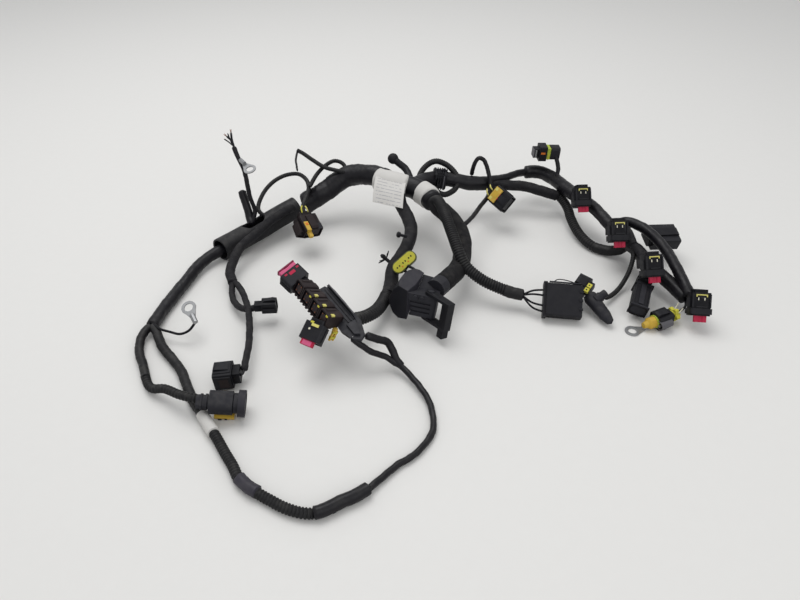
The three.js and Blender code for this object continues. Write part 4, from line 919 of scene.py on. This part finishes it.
TRAY = frame_at((-68, -50, 45), (0.57, -0.81, -0.13), (0, -0.3, 0.95))
PLUG_PITCH = 14.2
PLUG_FORWARD = turned_to(TRAY, 0, -0.8, 0.6)
PLUG_UP = turned_to(TRAY, 1, 0, 0)
END_FOOT = moved(TRAY, -17.5, -12.9, 5.1).translation
SIDE_FOOT = moved(TRAY, 30.1, -21.4, 8.8).translation
BOOT = frame_at((-160, -156, 18), (0.98, 0.08, -0.16), (0, -0.35, 0.94))
GROUND = frame_at((267, -33, 9.8), (-0.9, -0.36, -0.1))
ELBOW = frame_at((187, -11, 14), (0.38, -0.86, -0.2), (0, -0.3, 0.95))
FORK_FOOT = moved(ELBOW, -3, 4, 3).translation
FRAMES = {
    "cluster_tray": TRAY,
    "cluster_end_connector": framed(END_FOOT, (-0.72, 0.55, 0.42), (0.3, -0.5, 0.8)),
    "cluster_side_connector": framed(SIDE_FOOT, (-0.4, -0.72, -0.56), (-0.2, -0.55, 0.8)),
    "lever_connector_hood": frame_at((28, -35, 24), (1, 0, 0), (0, -0.788, 0.616)),
    "relay_connector": frame_at((139.5, -19, 15.5), (1, -0.14, 0), (0, -0.57, 0.82)),
    "fork_connector": framed(FORK_FOOT, (-0.75, 0.6, 0.1), (0, -0.5, 0.85)),
    "boot_connector": BOOT,
    "boot_connector_lock": moved(BOOT, 1.5, -1.2, -10.35),
    "slim_connector": frame_at((248, 13, 18), (-0.38, -0.91, -0.12), (0.1, -0.2, 1)),
    "sensor_connector_square": frame_at((-137, -117, 11.2), (-1, -0.1, -0.05)),
    "hanging_connector": frame_at((-107, 106, 38), (0.45, -0.78, -0.42), (0.4, -0.3, 0.85)),
    "top_sensor_connector": frame_at((192, 209, 64), (-1, -0.05, 0.03)),
    "yellow_face_connector": frame_at((108, 152, 41), (0.62, -0.62, -0.3), (-0.5, -0.6, 0.6)),
    "seal_connector": frame_at((5, 22, 31), (-0.1, -0.78, 0.6), (-0.66, 0.6, 0.5)),
    "ground_seal": GROUND,
    "ground_clip": GROUND,
    "ground_sleeve": GROUND,
    "trunk_clamp": frame_at((39, 171.5, 48.5), (1, 0.03, -0.12)),
}
for number in range(4):
    foot = moved(TRAY, -10 + number * PLUG_PITCH, -4.5, 2).translation
    FRAMES[f"cluster_plug_{number + 1}"] = framed(foot, PLUG_FORWARD, PLUG_UP)
FRAMES["cluster_end_lock"] = FRAMES["cluster_end_connector"]
FRAMES["cluster_side_lock"] = FRAMES["cluster_side_connector"]


def plug_pins(piece):
    for y in (-3.2, 2.6):
        for z in (-2.4, 2.4):
            piece.box(17.6, 18.7, y - 0.6, y + 0.6, z - 0.5, z + 0.5, "copper")
    for z in (-4.6, 0, 4.6):
        piece.box(9, 19.5, 6.4, 7.6, z - 0.9, z + 0.9, "brown_plastic")
    piece.box(6, 16, -7.3, -6.4, -3.5, -1.5, "brown_plastic")


def keyed_plug(piece):
    """A plug that shows its yellow retainer at the side and the front."""
    plug_pins(piece)
    piece.box(12.4, 15.8, -7.4, -6, 3.6, 6.2, "pale_yellow")
    piece.box(18.6, 19.4, -5.6, -4.2, 2.6, 5.2, "yellow")


def last_plug(piece):
    """The lowest plug, with a yellow clip that hangs beside it."""
    keyed_plug(piece)
    for x in (3.6, 7.2):
        piece.box(x, x + 1.8, 7.6, 18, 7.6, 9.4, "gold")
    for y in (8, 13.6):
        piece.box(3.6, 9, y, y + 1.8, 7.2, 9.8, "yellow")
    piece.box(4.2, 7.6, 5.5, 9, 5.5, 8.6, "gold")


def tray_rails(piece):
    for y, look in ((5.2, "grey_plastic"), (2.4, "plastic"), (-0.6, "grey_plastic")):
        piece.box(-4, 42, y - 0.5, y + 0.5, 1.2, 2.7, look)
    piece.box(-3, 40, 6.2, 7.0, 6.2, 7.5, "light_grey")


def end_marks(piece):
    piece.box(12.6, 15.6, -3, 3.4, 7.4, 8.3, "red")
    for y in (-7.2, 6.4):
        piece.box(14.6, 16.4, y - 1.4, y + 1.4, 7.4, 8.3, "red")
    piece.box(5, 17.6, 9.8, 11.6, -5.5, -3.5, "plastic")
    piece.box(5, 17.6, 9.8, 11.6, 3.2, 5.2, "plastic")


def end_lock_rim(piece):
    piece.box(21.8, 23.5, -9.4, 9.4, 1.2, 7.2, "plum")


def side_marks(piece):
    piece.box(5.2, 7.6, -2.2, 4.6, 6.6, 7.9, "pale_yellow")
    piece.box(3.4, 5.2, -4.2, -1.2, 6.2, 7.5, "yellow")
    piece.box(9.6, 11.4, -3.6, -2, 6.8, 7.15, "pale")


def side_lock_face(piece):
    piece.box(20.4, 24.8, -4.4, 4.4, 5.0, 5.9, "pink")


def hood_painted_shade(piece):
    # Painted shade: the hood's faces that turn towards -X get the darker black plastic, as if they lay in
    # shadow.
    piece.recoloured("plastic", lambda middle, normal: normal.x < -0.25)


def relay_strap(piece):
    piece.wire([(9, 17.6, 3.4), (13, 20.6, 3.6), (24, 20.2, 2.8), (34, 17.2, 1.6)], 1.0, "plastic")
    piece.box(5, 35, 16.6, 17.6, 4.6, 6.7, "grey_plastic")
    for y in (-9, 0, 9):
        piece.box(34, 37.6, y - 1.2, y + 1.2, 5.2, 6.9, "plastic")


def fork_seals(piece):
    for y in (0.2, 5.8):
        piece.box(0.6, 4.8, y - 2.2, y + 2.2, 4.2, 7.5, "yellow")
        piece.box(2.2, 3.4, y - 0.6, y + 0.6, 7.2, 7.8, "plastic")
    piece.turned([(6.9, 0.9), (7.15, 0.9)], "pale", start=(9.5, 4.6, 0), axis="z", sides=14)


def boot_rim(piece):
    piece.recoloured("hood_plastic", lambda middle, normal: middle.x > 30)
    piece.recoloured("light_grey", lambda middle, normal: middle.x > 33.4 and abs(normal.x) < 0.9)


def boot_lock_marks(piece):
    piece.box(12, 15, -9.5, -8.6, -1.4, 0.8, "plastic")
    piece.box(17.4, 19.4, -9.5, -8.6, -0.8, 1.4, "plastic")


def square_recess(piece):
    piece.box(7, 21.4, 9.0, 10.6, -6.6, 6.6, "plastic")
    piece.box(9, 17, 10.2, 10.9, -4.6, 4.6, "brown_plastic")
    piece.box(7, 21.4, -6.6, 6.6, 8.2, 9.2, "plastic")


def slim_steps(piece):
    """Ears at the wire end, a step round the neck and the tongue along the shell."""
    for y in (-6.6, 4.6):
        piece.box(-1.5, 4, y, y + 2, -4, 4.4, "plastic")
    piece.box(8, 10.4, -7.2, 7.2, -5.2, 5.4, "plastic")
    piece.box(15, 18, -9.2, 9.2, -6.4, 7.0, "plastic")
    piece.box(18, 46, -2.4, 2.4, 6.2, 7.4, "grey_plastic")
    for y in (-7.4, 6.2):
        piece.box(18, 48, y, y + 1.2, 6.2, 7.0, "plastic")
    piece.box(47.6, 49.2, -8.9, 8.9, -6.4, 7.0, "grey_plastic")


def hanging_wires(piece):
    piece.wire([(3, -5, 6.6), (-2, -4.4, 8.6), (-6, -1.5, 8)], 1.5, "yellow")
    piece.wire([(3, 2.5, 6.6), (-1.5, 1.5, 8.8), (-5, 1.5, 8)], 1.5, "pale_yellow")
    piece.box(16, 27.4, -9.4, -4.8, 6.8, 8.4, "gold")
    piece.box(18, 21, -8.4, -5.8, 8.2, 8.9, "orange")
    piece.box(25.5, 34, -8.2, -4.2, 1.5, 5.2, "gold")
    piece.box(25.5, 27.8, -8.8, -4.6, 3.5, 8.2, "amber")
    piece.box(20.5, 27.5, 3, 9.4, 7.0, 8.5, "grey_plastic")


def sensor_marks(piece):
    piece.box(11.4, 15.8, -6.2, 6.2, -6.8, 6.8, "lime")
    piece.box(12.8, 14.2, -6.6, 6.6, -7.2, 0.6, "yellow")
    piece.box(18.4, 23.6, 7.6, 8.5, 0.6, 2.8, "orange")
    piece.box(28.2, 29.8, 4.8, 6.6, -4.6, 4.6, "tin")
    piece.box(30.4, 31.8, -5, 5.8, -5.2, 5.2, "light_grey")


def yellow_retainer(piece):
    piece.box(3.6, 12.6, -8.6, 8.6, 7.6, 11.0, "gold")
    piece.box(5.2, 11.0, -3.6, 3.8, 10.6, 11.5, "amber")
    for x, y in ((13.2, 2.6), (13.4, -2.4)):
        piece.box(12.4, x, y - 1.2, y + 1.2, 9.0, 10.9, "red")
    for y in (-5.9, 5.9):
        piece.box(4.4, 7.6, y - 1.7, y + 1.7, 10.7, 11.4, "pale_yellow")
    piece.box(14, 24, -8.6, 8.6, 8.2, 9.0, "plastic")
    piece.wire([(1.5, -6, 5), (-2.5, -4.5, 7), (-6, -1, 6)], 1.6, "pale_yellow")
    piece.wire([(1.5, 1.5, 5), (-3, 2.6, 7), (-6.5, 4.6, 5)], 1.6, "pale_yellow")


def seal_rim(piece):
    piece.recoloured("olive", lambda middle, normal: middle.x < 7.2)
    for y in (-9, -6, -1.5, 1.5, 6, 9):
        piece.box(7.4, 9.58, y - 0.55, y + 0.55, -0.9, 0.9, "plastic")
    for y in (-4, 3.6):
        piece.box(9.3, 9.7, y - 0.7, y + 0.7, -3, -1.6, "orange")


def flower(radius, petals, depth, steps=60):
    """A round outline with petals, as pairs of numbers."""
    outline = []
    for i in range(steps):
        angle = 2 * math.pi * i / steps
        reach = radius + depth * math.cos(petals * angle)
        outline.append((reach * math.cos(angle), reach * math.sin(angle)))
    return outline


def seal_flower(piece):
    piece.prism(flower(6.2, 5, 1.3), 1.6, 5.2, "yellow", axis="x")
    piece.prism(flower(3.6, 4, 0.8), -1.2, 1.8, "pale_yellow", axis="x")
    piece.wire([(1, -3, 2), (-3, -4.4, 5), (-5, -5, 7.6)], 1.2, "pale")
    piece.wire([(1, 3, 2), (-2.5, 2.6, 4.6), (-4.5, 2.2, 6.4)], 1.2, "pale")


def clip_barrel(piece):
    piece.turned([(0, 4.2), (13, 4.8), (13, 3.8), (8, 3.4)], "light_grey", start=(13, 7.4, 0))
    piece.turned([(7.5, 1.4), (13.6, 1.4)], "tin", start=(13, 7.4, 0), sides=14)
    piece.box(9, 20, -8.6, -7.4, -3, 3, "plastic")


def sleeve_taper(piece):
    piece.turned([(23.6, 6.2), (26.4, 6.6)], "lime")
    piece.turned([(33.6, 3.9), (38.4, 2.9)], "amber", sides=20)


def clamp_ribs(piece):
    half = 10
    for x in (4.4, 7.0, 9.6):
        piece.box(x, x + 1.2, -half - 0.9, half + 0.9, -7, 7, "plastic")
        piece.box(x, x + 1.2, -7, 7, -half - 0.9, half + 0.9, "plastic")
    for x in (8.6, 10.6, 12.6, 14.6):
        piece.box(x, x + 0.9, -2, 2, half + 0.4, half + 2.6, "plastic")
    piece.box(10.9, 12.1, -half - 1.7, -half - 1.1, -8, 9, "light_grey")


# Housings: the CAD solid with rounded edges, in its look, and its details

HOUSINGS = {
    "cluster_tray": ("grey_plastic", tray_rails),
    "cluster_plug_1": ("brown_plastic", plug_pins),
    "cluster_plug_2": ("brown_plastic", keyed_plug),
    "cluster_plug_3": ("brown_plastic", keyed_plug),
    "cluster_plug_4": ("brown_plastic", last_plug),
    "cluster_end_connector": ("plastic", end_marks),
    "cluster_side_connector": ("plastic", side_marks),
    "lever_connector_body": ("grey_plastic", None),
    "lever_connector_hood": ("hood_plastic", hood_painted_shade),
    "relay_connector": ("plastic", relay_strap),
    "elbow_boot": ("rubber", None),
    "fork_connector": ("plastic", fork_seals),
    "slim_connector": ("plastic", slim_steps),
    "rubber_boot": ("rubber", None),
    "boot_connector": ("grey_plastic", boot_rim),
    "boot_connector_lock": ("amber", boot_lock_marks),
    "sensor_connector_small": ("plastic", None),
    "sensor_connector_square": ("plastic", square_recess),
    "hanging_connector": ("brown_plastic", hanging_wires),
    "top_sensor_connector": ("plastic", sensor_marks),
    "yellow_face_connector": ("plastic", yellow_retainer),
    "seal_connector": ("yellow", seal_rim),
    "flat_box_connector": ("plastic", None),
    "ground_seal": ("yellow", seal_flower),
    "ground_clip": ("plastic", clip_barrel),
    "ground_sleeve": ("amber", sleeve_taper),
    "trunk_clamp": ("plastic", clamp_ribs),
    "ring_terminal_left": ("tin", None),
    "ring_terminal_upper": ("tin", None),
    "ring_terminal_right": ("tin", None),
}
GREY_SLOT = ("cluster_tray", "lever_connector_hood", "boot_connector", "ground_clip")
OWN_SLOT = ("amber", "yellow", "rubber", "tin")


def slot_of(node, look):
    if node in GREY_SLOT:
        return "grey_plastic"
    return look if look in OWN_SLOT else "plastic"


def housing(name, node, look, slot, details=None, body=BODY):
    piece = Piece(name, FRAMES.get(node)).cad(node, look)
    if details:
        details(piece)
    piece.done(node, slot, body=body)


for node, (look, details) in HOUSINGS.items():
    housing(node + "_shell", node, look, slot_of(node, look), details)
housing("cluster_end_slide", "cluster_end_lock", "pink", "pink", end_lock_rim, "cluster_end_lock_body")
housing("cluster_side_slide", "cluster_side_lock", "red", "red", side_lock_face, "cluster_side_lock_body")
housing("lever_arm", "lever_connector_lever", "plastic", "plastic", body="lever_connector_lever_body")


# Fixing clips pushed into the tape: a star-shaped one, a knob and a flat eyelet

star_clip = Piece("star_clip", frame_at((-14.4, 34, 27), (-0.75, 0.4, 0.5)))
star_clip.turned([(-9, 1.8), (3, 1.8), (5, 2.4), (7, 1.0)], "plastic", sides=16)
for turn in range(0, 360, 60):
    reach = [8.6 * math.cos(math.radians(turn)), 8.6 * math.sin(math.radians(turn))]
    star_clip.wire([(0, 0, 0), (1.5, reach[0] * 0.5, reach[1] * 0.5), (3.5, *reach)], 1.3, "plastic")
star_clip.done("cluster_branch", "plastic", bevel=0)
knob_clip = Piece("knob_clip", frame_at((0.5, 50, 46), (-0.9, -0.1, 0.3)))
knob_clip.turned([(-7, 1.5), (0, 1.5), (0.4, 2.9), (3, 3.1), (4, 2.2)], "plastic", sides=18)
knob_clip.done("cluster_branch", "plastic", bevel=0.2)
eyelet = Piece("eyelet", frame_at((9.2, 12, 29), (0.35, -0.3, 0.9), (0.1, -0.75, 0.6)))
for side in (-1, 1):
    eyelet.box(-6, 5, side * 3 - 1, side * 3 + 1, -1, 1, "plastic")
for x in (-6, 3.4):
    eyelet.box(x, x + 2.2, -4, 4, -1, 1, "plastic")
eyelet.box(-12, -4, -2, 2, -1.2, 1, "plastic")
eyelet.done("cluster_branch", "plastic", bevel=0.3)

# Bare copper at the ends of the two cut wires

for number in (1, 2):
    before, tip = route(f"spare_wire_{number}")[-2:]
    strands = Piece(f"bare_tip_{number}", framed(tip, tip - before, (1, 0, 0)))
    for y, z in ((0, 0.3), (0.5, -0.2), (-0.5, -0.2)):
        strands.wire([(-1, y, z), (1.2, y * 1.5, z * 1.5), (3.2, y * 2.6, z * 2.6)], 0.6, "copper")
    strands.done("spare_branch", "tape", bevel=0)


# Two more wires of the spare bundle, which fan out between and beside the cut ones

spare_start = route("spare_wire_1")[0]
cut_a, cut_b = route("spare_wire_1")[-1], route("spare_wire_2")[-1]
spare_wires = Piece("spare_wires")
for share, reach in ((0.4, 1.1), (-0.6, 0.94)):
    tip = spare_start + (cut_a.lerp(cut_b, share) - spare_start) * reach
    bend = spare_start.lerp(tip, 0.5).lerp(cut_a, 0.12)
    spare_wires.wire([tuple(point / MM) for point in (spare_start, bend, tip)], 1.5, "tape")
spare_wires.done("spare_branch", "tape", bevel=0)


# Floor

floor = bpy.data.meshes.new("floor")
floor.from_pydata([(-3, -2, 0), (3, -2, 0), (3, 6, 0), (-3, 6, 0)], [], [(0, 1, 2, 3)])
floor.materials.append(LOOKS["floor"])
floor_object = bpy.data.objects.new("floor", floor)
floor_object.location.z = min(0.0, CAD_BOX[0][2]) - FLOOR_GAP
bpy.context.collection.objects.link(floor_object)
